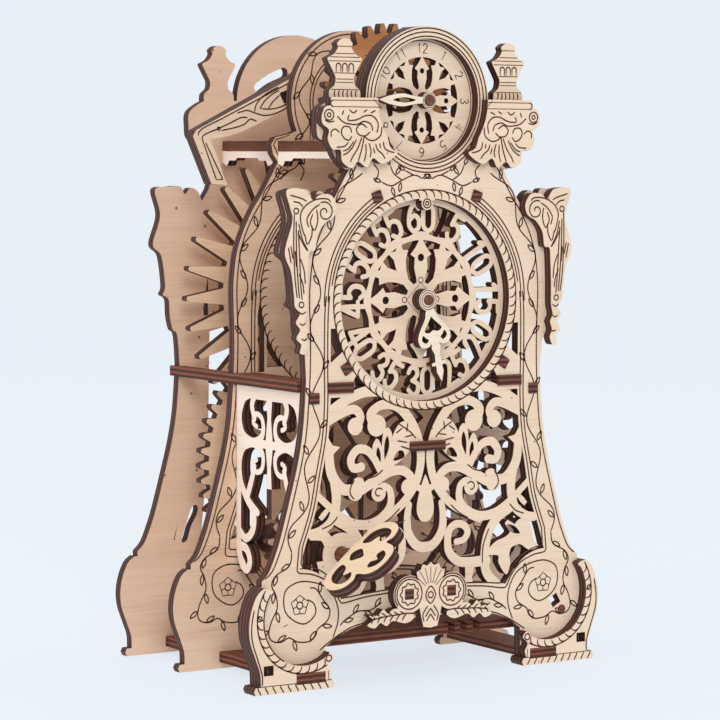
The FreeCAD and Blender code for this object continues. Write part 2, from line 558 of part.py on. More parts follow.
def minute_dial():
    y = FRONT + PLY
    rim = spot(0, DIAL_Z, 30.6, y).cut(spot(0, DIAL_Z, 27.3, y))
    scallops = plate([(r * math.cos(t), DIAL_Z + r * math.sin(t)) for r, t in
                      ((19.0 + 0.5 * math.cos(12 * 2 * math.pi * k / 144), 2 * math.pi * k / 144) for k in range(144))], y)
    scallops = bored(scallops, 0, DIAL_Z, 17.0, y)
    shapes = [rim, scallops, dial_fret(DIAL_Z, y, 1.0, 17.0)]
    for k in range(12):
        value = 60 if k == 0 else 5 * k
        text = str(value)
        shapes.append(numeral(text, 23.3, 30 * k, DIAL_Z, y, 20 <= value <= 40))
    whole = joined(shapes)
    return sheet(bored(whole, 0, DIAL_Z, ARBOR + CLEAR, y))


def hour_dial():
    y = FRONT + PLY
    whole = joined([spot(0, TOP_Z, BEZEL_OUT, y).cut(spot(0, TOP_Z, 12.3, y)), dial_fret(TOP_Z, y, 0.7, 12.3)])
    return sheet(bored(whole, 0, TOP_Z, ARBOR + CLEAR, y))


# ---- side pieces -------------------------------------------------------------------------
def turned_to_side(shape, x):
    """Turn a sheet made in the XZ plane at y = 0 so that it stands in the YZ plane at x."""
    shape = shape.copy()
    shape.rotate(V(0, 0, 0), V(0, 0, 1), 90)
    shape.translate(V(x + PLY, 0, 0))
    return shape


def side_fret():
    """Right-hand scrollwork panel between the front and the middle plates."""
    y0, y1 = 3.1, 39.7
    cy = (y0 + y1) / 2
    y = 0
    bars = [patch(y0, y1, 79.2, 82.8, y), patch(y0, y1, 65.4, 67.8, y),
            plate([(cy - 1.6, 79.4), (cy - 1.0, 74), (cy - 1.9, 68), (cy - 1.9, 65), (cy - 1.0, 60), (cy - 1.4, 54),
                   (cy + 1.4, 54), (cy + 1.0, 60), (cy + 1.9, 65), (cy + 1.9, 68), (cy + 1.0, 74), (cy + 1.6, 79.4)], y)]
    side = [stroke([(cy - 6.9, 71.4), (cy - 8.9, 72.4), (cy - 7.4, 74.9), (cy - 4.4, 74.2), (cy - 3.2, 71.4), (cy - 4.4, 68.4),
                    (cy - 9, 66.8), (cy - 14.6, 68.6), (cy - 16.6, 73.5), (cy - 14.6, 78.6), (cy - 11, 80.6)],
                   [1.4, 1.5, 1.7, 2.0, 2.4, 2.4, 2.4, 2.4, 2.4, 2.4, 2.6], y),
            stroke([(cy - 8.2, 73.6), (cy - 9.6, 77.4), (cy - 8.0, 80.4)], [2.0, 2.2, 2.4], y),
            stroke([(cy - 6.9, 61.8), (cy - 8.9, 60.8), (cy - 7.4, 58.3), (cy - 4.4, 59.0), (cy - 3.2, 61.8), (cy - 4.4, 64.6),
                    (cy - 9, 66.4), (cy - 14.6, 64.6), (cy - 16.6, 60), (cy - 15.6, 54.4), (cy - 11.6, 49.4),
                    (cy - 6.4, 46.6)], [1.4, 1.5, 1.7, 2.0, 2.4, 2.4, 2.4, 2.4, 2.4, 2.6, 2.8, 2.2], y),
            stroke([(cy - 8.2, 59.8), (cy - 9.4, 56.4), (cy - 12.2, 50.6)], [2.0, 2.4, 2.4], y),
            stroke([(cy - 16.9, 82), (cy - 16.9, 60), (cy - 16.9, 36), (cy - 14.4, 30.6)], [2.8, 2.6, 2.8, 3.0], y),
            stroke([(cy - 11.6, 49.6), (cy - 8.4, 45.6), (cy - 9.2, 41), (cy - 13, 38.4), (cy - 16.4, 40.4)],
                   [2.6, 2.6, 2.6, 2.4, 2.4], y),
            stroke([(cy - 16.9, 36), (cy - 12.6, 35.4), (cy - 10.6, 32), (cy - 12.4, 29.4), (cy - 15, 30.4)],
                   [2.6, 2.6, 2.6, 2.6, 2.6], y)]
    mirrored = [piece.mirror(V(cy, 0, 0), V(1, 0, 0)) for piece in side]
    whole = joined(bars + side + mirrored).common(patch(y0, y1, 20, SHELF[2] - 0.1, y))
    whole.translate(V(FRONT, 0, 0))
    return turned_to_side(sheet(whole), 36.4)


def cornice(y0, y1):
    """Pelmet board under the roof rail, with a stepped drop at each end."""
    drop = [(y0, 146.6), (y0 + 2.6, 145.8), (y0 + 3.8, 147.4), (y0 + 7.6, 147.4), (y0 + 8.4, 148.2)]
    other = [(y1 - (p - y0), z) for p, z in reversed(drop)]
    board = plate([(y0, 150.1)] + drop + other + [(y1, 150.1)], 0)
    return turned_to_side(sheet(board), RAIL[0])


def side_plank(x0, x1, z0, z1, y0):
    """A plank that runs through the middle plate and stands out behind the back plate."""
    return block(x0, x1, y0, REAR_END, z0, z1)


def side_shelf():
    x0, x1, z0, z1 = SHELF
    return welded([block(x0, x1, FRONT + PLY, MIDDLE, z0, z1), side_plank(*SHELF_TAIL, MIDDLE)])


def gable(y, inset):
    """Strapwork bracket of the roof, right side."""
    outer = [(12.8, 173.8), (49.4 - inset, 156.1), (50.4 - inset, 154.4), (44.2 - inset, 140.6), (38.8, 140.3)]
    inner = curve([(38.8, 140.3), (40.2, 143.2), (42.0, 148), (44.6 - inset, 153.4)])
    inner += curve([(44.4 - inset, 153.6), (36, 155.2), (28, 158.4), (22, 161.2), (17.6, 163)]) + [(12.6, 166)]
    slot = plate([(21.4, 167.2), (17.4, 168.6), (17.6, 164.4), (19.7, 164.2)], y)
    return sheet(plate(outer + inner, y).cut(slot))


def base_board():
    """Wavy stretcher lying flat between the feet, tongued into the front and middle plates."""
    y0 = FRONT + PLY + 0.1
    half = [(0, 0), (0, 33.4), (6, 33.4), (12, 32.2), (14, 28), (18, 27), (24, 29.5), (29.6, 33.4), (34, 33.4), (34, 0)]
    wire = [V(x, y0 + y, 10.6) for x, y in half]
    right = Part.Face(Part.makePolygon(wire + [wire[0]])).extrude(V(0, 0, PLY))
    whole = welded([right, flipped(right)])
    for k in range(3):
        whole = whole.cut(block(10.4 + 4.4 * k, 12.8 + 4.4 * k, FRONT, FRONT + 7.2, 10, 14))
    return whole


# ---- moving train --------------------------------------------------------------------------
def sunburst():
    tip, root = 43.2, 31.0
    points = []
    for k in range(SPIKES):
        middle = 360.0 / SPIKES * k + 2.0
        for r, a in ((root, -4.6), (tip, -0.9), (tip + 0.3, 0.0), (tip, 0.9), (root, 4.6)):
            t = math.radians(middle + a)
            points.append((r * math.cos(t), DIAL_Z + r * math.sin(t)))
    wheel = plate(points, Y_SUN)
    for k in range(5):
        a0, a1 = 72 * k + 8, 72 * k + 64
        wheel = wheel.cut(plate(arc(0, DIAL_Z, 25, a0, a1) + arc(0, DIAL_Z, 9, a1 - 8, a0 + 8), Y_SUN))
    return sheet(bored(wheel, 0, DIAL_Z, ARBOR, Y_SUN))


def arbor(cx, cz, r, y0, y1):
    return disc(cx, cz, r, y0, y1 - y0)


def collar(cx, cz, r_out, y0, y1, r_in=ARBOR):
    return ring(cx, cz, r_out, r_in, y0, y1 - y0)


def minute_hand():
    y = FRONT - 0.8
    spade = curve([(0, -2.0), (1.5, -3.2), (2.2, -5.2), (4.4, -8.0), (5.6, -10.4), (5.0, -12.8), (2.8, -13.4), (1.3, -12.6)])
    stem = [(1.6, -14), (0.9, -15.8), (1.1, -18), (2.4, -18.2), (2.4, -19), (1.0, -19.2), (1.2, -21), (0, -24)]
    heart = curve([(0, -4.8), (1.4, -6.6), (3.0, -8.6), (1.6, -9.4), (0, -8.8)])
    curl = curve([(3.7, -9.6), (4.4, -11), (3.1, -12.1), (2.0, -11.3), (2.9, -10.6)], closed=True)
    hand = joined([plate(symmetric(spade + stem), y), spot(0, 0, 3.1, y)])
    for hole in (symmetric(heart), curl, mirror(curl)):
        hand = hand.cut(plate(hole, y))
    hand = sheet(bored(hand, 0, 0, ARBOR, y))
    hand.rotate(V(0, 0, 0), V(0, 1, 0), HAND_TURN)
    hand.translate(V(0, 0, DIAL_Z))
    return hand


def hour_hand():
    y = FRONT - 0.8
    upper = curve([(-2, 0.9), (-5, 1.1), (-9, 1.8), (-13.4, 1.2), (-17.1, 0)])
    lens = upper + [(x, -z) for x, z in reversed(upper)]
    hand = joined([plate(lens, y), spot(0, 0, 2.4, y)])
    hand = hand.cut(plate(curve([(-4.6, 0), (-8.5, 0.75), (-12.4, 0), (-8.5, -0.75)], closed=True), y))
    hand = sheet(bored(hand, 0, 0, ARBOR, y))
    hand.translate(V(0, 0, TOP_Z))
    return hand



def key_bow():
    """Three-lobed openwork bow: drawn in (u across, w along the arbor) and turned about the arbor."""
    front, rear = KEY_FRONT - FRONT, -4.4
    half = curve([(0, rear), (3.0, rear), (5.6, rear - 0.4), (9.4, rear - 0.6), (12.6, rear - 3.4), (13.6, rear - 8), (12, rear - 12.2),
                  (8.6, rear - 13.6), (6.4, rear - 12.6), (5.6, front + 3.4), (3.4, front + 0.8), (0, front)])
    body = plate(half + [(-x, z) for x, z in reversed(half)], 0)
    side = plate(curve([(4.6, rear - 2.6), (8.6, rear - 2.8), (11.0, rear - 6), (10.8, rear - 10), (8.4, rear - 11.4), (6.2, rear - 9.6),
                        (7.8, rear - 7.4), (5.2, rear - 5.8)], closed=True), 0)
    middle = plate(curve([(0, front + 2.2), (2.2, front + 3.0), (3.4, front + 5.6), (1.4, front + 6.6), (0, front + 4.6),
                          (-1.4, front + 6.6), (-3.4, front + 5.6), (-2.2, front + 3.0)], closed=True), 0)
    heart = plate(curve([(0, rear - 2.4), (2.4, rear - 4.6), (1.0, rear - 7.4), (0, rear - 8.4), (-1.0, rear - 7.4), (-2.4, rear - 4.6)],
                        closed=True), 0)
    body = body.cut(side).cut(flipped(side)).cut(middle).cut(heart)
    body = sheet(joined([body, patch(-KEY_TANG, KEY_TANG, rear - 0.4, rear + 5.0, 0)]))
    body.translate(V(0, -PLY / 2, 0))
    body.rotate(V(0, 0, 0), V(1, 0, 0), -90)     # w now runs along +Y
    body.rotate(V(0, 0, 0), V(0, 1, 0), -KEY_ANGLE)
    body.translate(V(KEY_X, FRONT, KEY_Z))
    return body


def key_slot_tool():
    tool = block(-KEY_TANG - 0.04, KEY_TANG + 0.04, -4.9, 0.7, -PLY / 2 - 0.02, PLY / 2 + 0.02)
    tool.rotate(V(0, 0, 0), V(0, 1, 0), -KEY_ANGLE)
    tool.translate(V(KEY_X, FRONT, KEY_Z))
    return tool


# ---- the going train -------------------------------------------------------------------------
WIND_ANGLE = math.degrees(math.atan2(KEY_Z - GREAT_Z, KEY_X))
MODULE_WIND = 2 * math.hypot(KEY_X, KEY_Z - GREAT_Z) / (WIND_TEETH + KEY_TEETH)
MODULE_DRIVE = 2 * (DIAL_Z - GREAT_Z) / (GREAT_TEETH + DRIVE_TEETH)
HAND_END = FRONT - 1.4      # front ends of the two hand arbors


def meshed(angle, teeth):
    """Phase of the driven gear that puts a gap where the driver has a tooth."""
    return angle + 180 + 180 / teeth


def great_train():
    z, drum = GREAT_Z, MIDDLE + PLY
    return {
        "great_wheel": gear(0, z, MODULE_DRIVE, GREAT_TEETH, Y_GREAT, 90, ARBOR, 5, 8),
        "winding_wheel": gear(0, z, MODULE_WIND, WIND_TEETH, Y_WIND, WIND_ANGLE, ARBOR, 4, 6),
        "great_arbor": arbor(0, z, ARBOR, Y_WIND - 2.5, BACK + PLY),
        "drum_core": collar(0, z, 5.0, drum + 3.3, Y_GREAT),
        "drum_flange": collar(0, z, 9.0, drum + 0.3, drum + 3.3),
        "great_collars": Part.makeCompound([
            collar(0, z, 4.0, Y_WIND + PLY, MIDDLE - 0.3),
            collar(0, z, 4.0, Y_GREAT + PLY, BACK - 0.3)]),
    }


def minute_train():
    z = DIAL_Z
    return {
        "sunburst_wheel": sunburst(),
        "drive_pinion": gear(0, z, MODULE_DRIVE, DRIVE_TEETH, Y_GREAT, meshed(90, DRIVE_TEETH), ARBOR),
        "motion_pinion": gear(0, z, MODULE_MOTION, MINUTE_TEETH, Y_MOTION, 90, ARBOR),
        "minute_arbor": arbor(0, z, ARBOR, HAND_END, BACK + PLY),
        "minute_hand": minute_hand(),
        "minute_hub": collar(0, z, 3.1, FRONT + 2.2, FRONT + PLY - 0.2),
        "minute_front_collar": collar(0, z, 3.6, FRONT + 2 * PLY + 0.3, Y_MOTION),
        "minute_rear_collars": Part.makeCompound([
            collar(0, z, 3.6, Y_MOTION + PLY, MIDDLE - 0.3),
            collar(0, z, 3.6, MIDDLE + PLY + 0.3, Y_GREAT),
            collar(0, z, 4.4, Y_GREAT + PLY, Y_SUN),
            collar(0, z, 3.6, Y_SUN + PLY, BACK - 0.3)]),
    }


def idler_train():
    x, z, bore = 0, IDLER_Z, ARBOR + CLEAR
    return {
        "idler_wheel": gear(x, z, MODULE_MOTION, IDLER_TEETH, Y_MOTION, meshed(90, IDLER_TEETH), bore, 4, 5),
        "idler_pinion": gear(x, z, MODULE_MOTION, IDLER_PINION_TEETH, Y_HOUR, 90, bore),
        "idler_spacer": collar(x, z, 3.4, Y_MOTION + PLY, Y_HOUR, bore),
    }


def hour_train():
    z = TOP_Z
    return {
        "hour_wheel": gear(0, z, MODULE_MOTION, HOUR_TEETH, Y_HOUR, meshed(90, HOUR_TEETH), ARBOR, 5, 5),
        "hour_arbor": arbor(0, z, ARBOR, HAND_END, MIDDLE + PLY + 1.5),
        "hour_hand": hour_hand(),
        "hour_collars": Part.makeCompound([
            collar(0, z, 3.0, FRONT + 2 * PLY + 0.3, Y_HOUR),
            collar(0, z, 3.0, Y_HOUR + PLY, MIDDLE - 0.3)]),
    }


def key_train():
    shaft = arbor(KEY_X, KEY_Z, KEY_ARBOR, FRONT - 4.3, MIDDLE + PLY + 1.0).cut(key_slot_tool())
    return {
        "winding_key": key_bow(),
        "key_arbor": shaft,
        "key_pinion": gear(KEY_X, KEY_Z, MODULE_WIND, KEY_TEETH, Y_WIND, meshed(WIND_ANGLE, KEY_TEETH), KEY_ARBOR),
        "key_collars": Part.makeCompound([
            collar(KEY_X, KEY_Z, 4.2, FRONT + PLY + 0.3, Y_WIND, KEY_ARBOR),
            collar(KEY_X, KEY_Z, 4.2, Y_WIND + PLY, MIDDLE - 0.3, KEY_ARBOR)]),
    }


def idler_post():
    """Fixed pin in the middle plate with a head that keeps the idler on."""
    y0 = Y_MOTION - 0.3
    pin = arbor(0, IDLER_Z, ARBOR, y0 - 1.5, MIDDLE + PLY)
    head = arbor(0, IDLER_Z, 2.8, y0 - 1.5, y0)
    stop = arbor(0, IDLER_Z, 3.4, Y_HOUR + PLY + 0.3, MIDDLE)
    return welded([pin, head, stop])


def build():
    save("front_plate", front_plate())
    save("middle_plate", middle_plate())
    save("back_plate", back_plate())
    save("palmette", palmette())
    save("minute_dial", minute_dial())
    save("hour_dial", hour_dial())

    sided = {
        "foot_scroll": foot_scroll(),
        "wing": wing(),
        "corbel": corbel(),
        "side_fret": side_fret(),
        "side_shelf": side_shelf(),
        "bottom_plank": side_plank(*FOOT_SLOT, FRONT - PLY),
        "roof_rail": side_plank(*RAIL, FRONT),
        "cornice_front": cornice(FRONT + PLY + 0.05, MIDDLE - 0.05),
        "cornice_rear": cornice(MIDDLE + PLY + 0.05, BACK - 0.05),
        "gable_front": gable(Y_GABLE, 0.0),
        "gable_rear": gable(Y_GABLE + PLY, 0.9),
    }
    for name, shape in sided.items():
        save(name + "_right", shape)
        save(name + "_left", flipped(shape))

    save("base_board", base_board())
    pegs = [turned_block(x, z, w, FRONT - (PLY if abs(x) < 10 else 0.6), 2 * PLY if abs(x) < 10 else PLY + 0.6, a)
            for x, z, w, a in PEGS]
    save("square_pegs", Part.makeCompound(pegs))
    save("dial_wedges", Part.makeCompound(both([block(*WEDGE[:2], FRONT - 0.8, FRONT + PLY, *WEDGE[2:])])))
    save("cross_bar", block(*BAR[:2], FRONT - 1.0, FRONT + 7.0, *BAR[2:]))
    save("gable_spacers", Part.makeCompound(both([block(14.2, 17.0, MIDDLE + PLY, Y_GABLE, 166.6, 169.6)])))
    save("spiral_plug", disc(49, 15.2, 1.2, FRONT - 0.4, PLY))
    save("idler_post", idler_post())
    for train in (great_train(), minute_train(), idler_train(), hour_train(), key_train()):
        for name, shape in train.items():
            save(name, shape)


build()
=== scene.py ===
import json
import math

import bpy
from mathutils import Matrix, Vector


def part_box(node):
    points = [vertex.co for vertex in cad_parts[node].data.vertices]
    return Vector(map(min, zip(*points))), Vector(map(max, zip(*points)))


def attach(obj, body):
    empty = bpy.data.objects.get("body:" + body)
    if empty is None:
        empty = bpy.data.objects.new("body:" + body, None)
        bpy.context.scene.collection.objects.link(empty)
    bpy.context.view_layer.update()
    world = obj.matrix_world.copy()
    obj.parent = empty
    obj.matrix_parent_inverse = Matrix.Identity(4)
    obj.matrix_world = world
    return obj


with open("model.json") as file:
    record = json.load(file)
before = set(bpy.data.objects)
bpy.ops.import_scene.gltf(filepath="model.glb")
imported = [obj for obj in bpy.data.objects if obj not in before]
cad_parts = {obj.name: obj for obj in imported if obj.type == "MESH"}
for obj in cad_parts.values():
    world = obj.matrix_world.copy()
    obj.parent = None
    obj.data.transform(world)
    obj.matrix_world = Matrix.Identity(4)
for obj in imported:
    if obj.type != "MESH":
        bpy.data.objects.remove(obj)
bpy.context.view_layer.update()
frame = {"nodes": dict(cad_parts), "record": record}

MM = 0.001
PLY = 3.0                       # sheet thickness, in millimetres as every drawn size below

# Depths of the faces that carry engraving, read from the frame.
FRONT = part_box("front_plate")[0].y / MM
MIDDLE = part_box("middle_plate")[0].y / MM
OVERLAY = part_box("palmette")[0].y / MM
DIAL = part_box("minute_dial")[0].y / MM
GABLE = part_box("gable_front_left")[0].y / MM

JOINT = {j["name"]: j for j in frame["record"]["behaviour"]["joints"]}
DIAL_Z = JOINT["minute_spin"]["pos_m"][2] / MM
TOP_Z = JOINT["hour_spin"]["pos_m"][2] / MM

LINE = 0.42                     # width of an engraved line
KEY_ANGLE = 40.0                # plane of the key's bow, from +X towards +Z
PROUD = 0.03                    # how far the scorched line lies on the veneer


# ---- camera --------------------------------------------------------------------------------
def camera():
    """The camera, which looks at the clock from its front left."""
    azimuth, elevation, roll = (math.radians(a) for a in (-32.933, 4.110, 0.261))
    distance, lens = 0.86103, 144.5
    target = Vector((0.00338, 0.040 + FRONT * MM, 0.08828))
    back = Vector((math.sin(azimuth) * math.cos(elevation), -math.cos(azimuth) * math.cos(elevation),
                   math.sin(elevation)))
    right = (-back).cross(Vector((0, 0, 1))).normalized()
    up = right.cross(-back)
    right, up = right * math.cos(roll) + up * math.sin(roll), up * math.cos(roll) - right * math.sin(roll)
    data = bpy.data.cameras.new("camera")
    data.lens, data.sensor_width = lens, 36.0
    data.clip_start, data.clip_end = 0.01, 20.0
    cam = bpy.data.objects.new("camera", data)
    pose = Matrix((right, up, back)).transposed().to_4x4()
    pose.translation = target + back * distance
    cam.matrix_world = pose
    bpy.context.collection.objects.link(cam)
    bpy.context.scene.camera = cam


# ---- materials -------------------------------------------------------------------------------
class Nodes:
    """A small helper that adds shader nodes and joins them up."""

    def __init__(self, name):
        self.material = bpy.data.materials.new(name)
        self.material.use_nodes = True
        self.tree = self.material.node_tree
        self.tree.nodes.clear()

    def add(self, kind, inputs=None, **settings):
        node = self.tree.nodes.new(kind)
        for key, value in settings.items():
            setattr(node, key, value)
        for key, value in (inputs or {}).items():
            if isinstance(value, bpy.types.NodeSocket):
                self.tree.links.new(value, node.inputs[key])
            else:
                node.inputs[key].default_value = value
        return node

    def math(self, operation, a, b=0.0, c=0.0):
        return self.add("ShaderNodeMath", {0: a, 1: b, 2: c}, operation=operation).outputs[0]

    def ramp(self, value, stops):
        node = self.add("ShaderNodeValToRGB", {"Fac": value})
        ramp = node.color_ramp
        while len(ramp.elements) > 1:
            ramp.elements.remove(ramp.elements[-1])
        for i, (place, colour) in enumerate(stops):
            element = ramp.elements[0] if i == 0 else ramp.elements.new(place)
            element.position = place
            element.color = (*colour, 1.0)
        return node.outputs["Color"]

    def mix(self, factor, a, b):
        node = self.add("ShaderNodeMix", data_type="RGBA")
        for socket, value in ((node.inputs[0], factor), (node.inputs[6], a), (node.inputs[7], b)):
            if isinstance(value, bpy.types.NodeSocket):
                self.tree.links.new(value, socket)
            else:
                socket.default_value = (*value, 1.0) if isinstance(value, tuple) else value
        return node.outputs[2]


def srgb(r, g, b):
    """Linear colour of an 8-bit display colour."""
    return tuple((c / 255 / 12.92) if c <= 10 else ((c / 255 + 0.055) / 1.055) ** 2.4 for c in (r, g, b))


def plywood(name, across, light, dark, edge=(84, 54, 44), speck=1.0, along=(45, 900, 1500)):
    """Laser-cut plywood: grained veneer on the sheet's faces and scorched plies on its cut edges.

    across is the direction through the sheet; along stretches the grain.
    """
    n = Nodes(name)
    coords = n.add("ShaderNodeTexCoord")
    place = n.add("ShaderNodeVectorMath", {0: coords.outputs["Object"], 1: across}, operation="DOT_PRODUCT")
    normal = n.add("ShaderNodeVectorMath", {0: coords.outputs["Normal"], 1: across},
                   operation="DOT_PRODUCT")
    face = n.math("GREATER_THAN", n.math("ABSOLUTE", normal.outputs["Value"]), 0.7)

    stretch = n.add("ShaderNodeMapping", {"Vector": coords.outputs["Object"], "Scale": along})
    fibres = n.add("ShaderNodeTexNoise", {"Vector": stretch.outputs[0], "Scale": 1.0, "Detail": 5.0,
                                          "Roughness": 0.6})
    slow = n.add("ShaderNodeMapping", {"Vector": coords.outputs["Object"],
                                       "Scale": tuple(a * 0.12 for a in along)})
    bands = n.add("ShaderNodeTexNoise", {"Vector": slow.outputs[0], "Scale": 1.0, "Detail": 3.0,
                                         "Distortion": 0.6})
    patches = n.add("ShaderNodeTexNoise", {"Vector": coords.outputs["Object"], "Scale": 26.0,
                                           "Detail": 2.0})
    tone = n.math("ADD", n.math("MULTIPLY", fibres.outputs[0], 0.55),
                  n.math("MULTIPLY", bands.outputs[0], 0.5))
    tone = n.math("ADD", tone, n.math("MULTIPLY", n.math("SUBTRACT", patches.outputs[0], 0.5), 0.35))
    veneer = n.ramp(tone, [(0.30, srgb(*dark)), (0.52, srgb(*[(a * 0.65 + b * 0.35) for a,
                                                              b in zip(light, dark)])),
                           (0.72, srgb(*light))])
    pores = n.add("ShaderNodeMapping", {"Vector": coords.outputs["Object"],
                                        "Scale": tuple(a * 1.6 for a in along)})
    pore = n.add("ShaderNodeTexVoronoi", {"Vector": pores.outputs[0], "Scale": 0.55})
    pore_mark = n.math("LESS_THAN", pore.outputs["Distance"], 0.16)
    veneer = n.mix(n.math("MULTIPLY", pore_mark, 0.22), veneer, srgb(176, 132, 92))
    dots = n.add("ShaderNodeTexVoronoi", {"Vector": coords.outputs["Object"], "Scale": 165.0})
    dot_mark = n.math("LESS_THAN", dots.outputs["Distance"], 0.045 * speck)
    veneer = n.mix(n.math("MULTIPLY", dot_mark, 0.75), veneer, srgb(96, 62, 44))

    # Cut edges: three plies, scorched unevenly by the beam.
    depth = n.math("MULTIPLY", place.outputs["Value"], 1000.0)
    waver = n.add("ShaderNodeTexNoise", {"Vector": coords.outputs["Object"], "Scale": 320.0, "Detail": 3.0})
    ply = n.math("SINE", n.math("ADD", n.math("MULTIPLY", depth, 4.19),
                                n.math("MULTIPLY", waver.outputs[0], 2.0)))
    burnt = n.ramp(n.math("MULTIPLY_ADD", ply, 0.5, 0.5),
                   [(0.0, srgb(*[c * 0.62 for c in edge])), (0.55, srgb(*edge)),
                    (1.0, srgb(*[min(255, c * 1.42) for c in edge]))])
    soot = n.add("ShaderNodeTexNoise", {"Vector": coords.outputs["Object"], "Scale": 130.0, "Detail": 4.0})
    burnt = n.mix(n.math("MULTIPLY", soot.outputs[0], 0.5), burnt, srgb(46, 26, 22))

    colour = n.mix(face, burnt, veneer)
    height = n.math("ADD", n.math("MULTIPLY", fibres.outputs[0], 0.6),
                    n.math("MULTIPLY", waver.outputs[0], 0.4))
    bump = n.add("ShaderNodeBump", {"Height": height, "Strength": 0.22, "Distance": 0.0002})
    rough = n.math("MULTIPLY_ADD", fibres.outputs[0], 0.16, 0.58)
    shader = n.add("ShaderNodeBsdfPrincipled", {"Base Color": colour, "Roughness": rough,
                                                "Normal": bump.outputs[0],
                                                 "Specular IOR Level": 0.28})
    n.add("ShaderNodeOutputMaterial", {"Surface": shader.outputs[0]})
    return n.material


def burnt_line():
    """The scorch that the beam leaves in an engraved line."""
    n = Nodes("engraving")
    coords = n.add("ShaderNodeTexCoord")
    soot = n.add("ShaderNodeTexNoise", {"Vector": coords.outputs["Object"], "Scale": 700.0, "Detail": 2.0})
    colour = n.ramp(soot.outputs[0], [(0.3, srgb(44, 30, 26)), (0.7, srgb(112, 76, 58))])
    shader = n.add("ShaderNodeBsdfPrincipled", {"Base Color": colour, "Roughness": 0.85,
                                                "Specular IOR Level": 0.1})
    n.add("ShaderNodeOutputMaterial", {"Surface": shader.outputs[0]})
    return n.material


def dowel_wood():
    """Dark turned wood, with its grain along the arbors."""
    n = Nodes("dowel_wood")
    coords = n.add("ShaderNodeTexCoord")
    stretch = n.add("ShaderNodeMapping", {"Vector": coords.outputs["Object"], "Scale": (1400, 90, 1400)})
    grain = n.add("ShaderNodeTexNoise", {"Vector": stretch.outputs[0], "Scale": 1.0, "Detail": 4.0})
    colour = n.ramp(grain.outputs[0], [(0.3, srgb(70, 34, 24)), (0.7, srgb(138, 78, 54))])
    bump = n.add("ShaderNodeBump", {"Height": grain.outputs[0], "Strength": 0.3, "Distance": 0.0002})
    shader = n.add("ShaderNodeBsdfPrincipled", {"Base Color": colour, "Roughness": 0.62,
                                                "Normal": bump.outputs[0]})
    n.add("ShaderNodeOutputMaterial", {"Surface": shader.outputs[0]})
    return n.material


def paint_nodes():
    """Gives every CAD node its wood; the middle plate and the roof rails carry painted shade in their
    colour.
    """
    depthwise, sideways, upright = (0, 1, 0), (1, 0, 0), (0, 0, 1)
    bow = math.radians(KEY_ANGLE)
    cream = plywood("veneer_front", depthwise, (247, 224, 198), (234, 205, 174))
    hand = plywood("veneer_hand", depthwise, (252, 238, 216), (244, 222, 192))
    # Painted shade: the middle plate gets a darker, pinker copy of the front veneer, for the shade it sits
    # in behind the front plate.
    painted_shade_middle = plywood("veneer_middle_painted_shade", depthwise, (240, 208, 180), (214, 178, 148))
    plain = plywood("veneer_back", depthwise, (240, 208, 182), (220, 184, 156), speck=1.7)
    wheel = plywood("veneer_wheel", depthwise, (244, 214, 184), (220, 186, 154))
    brown = plywood("veneer_hour_wheel", depthwise, (206, 148, 100), (170, 112, 70))
    side = plywood("veneer_side", sideways, (254, 236, 220), (240, 216, 196), along=(900, 60, 1500))
    # Roof rails are dark brown on every face: partly the plank's scorched edge, partly painted shade under
    # the gable.
    shaded_roof_rail = plywood("plank_rail_painted_shade", sideways, (120, 70, 50), (84, 46, 36), edge=(110, 62, 46),
                        along=(900, 60, 1500))
    plank = plywood("plank", upright, (132, 84, 62), (98, 58, 44), edge=(110, 62, 44), along=(900, 60, 900))
    peg = plywood("peg_end", upright, (120, 74, 58), (88, 50, 40), edge=(104, 62, 50), along=(900, 60, 900))
    key = plywood("veneer_key", (-math.sin(bow), 0, math.cos(bow)), (250, 226, 194), (236, 206, 172),
                  along=(900, 60, 900))
    dowel = dowel_wood()
    by_node = {
        "middle_plate": painted_shade_middle, "gable_front_left": cream, "gable_front_right": cream, "back_plate": plain,
        "sunburst_wheel": wheel, "great_wheel": wheel, "hour_wheel": brown, "base_board": plank,
        "square_pegs": peg, "dial_wedges": peg, "cross_bar": peg, "gable_spacers": peg,
        "spiral_plug": dowel, "winding_key": key,
    }
    fronts = ("front_plate", "palmette", "minute_dial", "hour_dial", "foot_scroll", "wing", "corbel",
              "gable")
    for name, node in frame["nodes"].items():
        if name in by_node:
            material = by_node[name]
        elif name in ("minute_hand", "hour_hand", "minute_hub"):
            material = hand
        elif name.startswith(fronts):
            material = cream
        elif name.startswith(("side_fret", "cornice")):
            material = side
        elif name.startswith("roof_rail"):
            material = shaded_roof_rail
        elif name.startswith(("side_shelf", "bottom_plank")):
            material = plank
        elif "arbor" in name or "post" in name:
            material = dowel
        else:
            material = wheel
        node.data.materials.clear()
        node.data.materials.append(material)


# ---- drawing helpers --------------------------------------------------------------------------
def smooth(points, closed=False, step=0.7):
    """Points along a Catmull-Rom curve."""
    count = len(points)
    out = []
    for i in range(count if closed else count - 1):
        if closed:
            quad = [points[(i + k - 1) % count] for k in range(4)]
        else:
            quad = [points[max(i - 1, 0)], points[i], points[i + 1], points[min(i + 2, count - 1)]]
        pieces = max(1, math.ceil(math.dist(quad[1], quad[2]) / step))
        for k in range(pieces):
            t = k / pieces
            out.append(tuple(0.5 * (2 * b + (c - a) * t + (2 * a - 5 * b + 4 * c - d) * t * t
                                    + (3 * b - a - 3 * c + d) * t ** 3) for a, b, c, d in zip(*quad)))
    out.append(tuple(points[0] if closed else points[-1]))
    return out


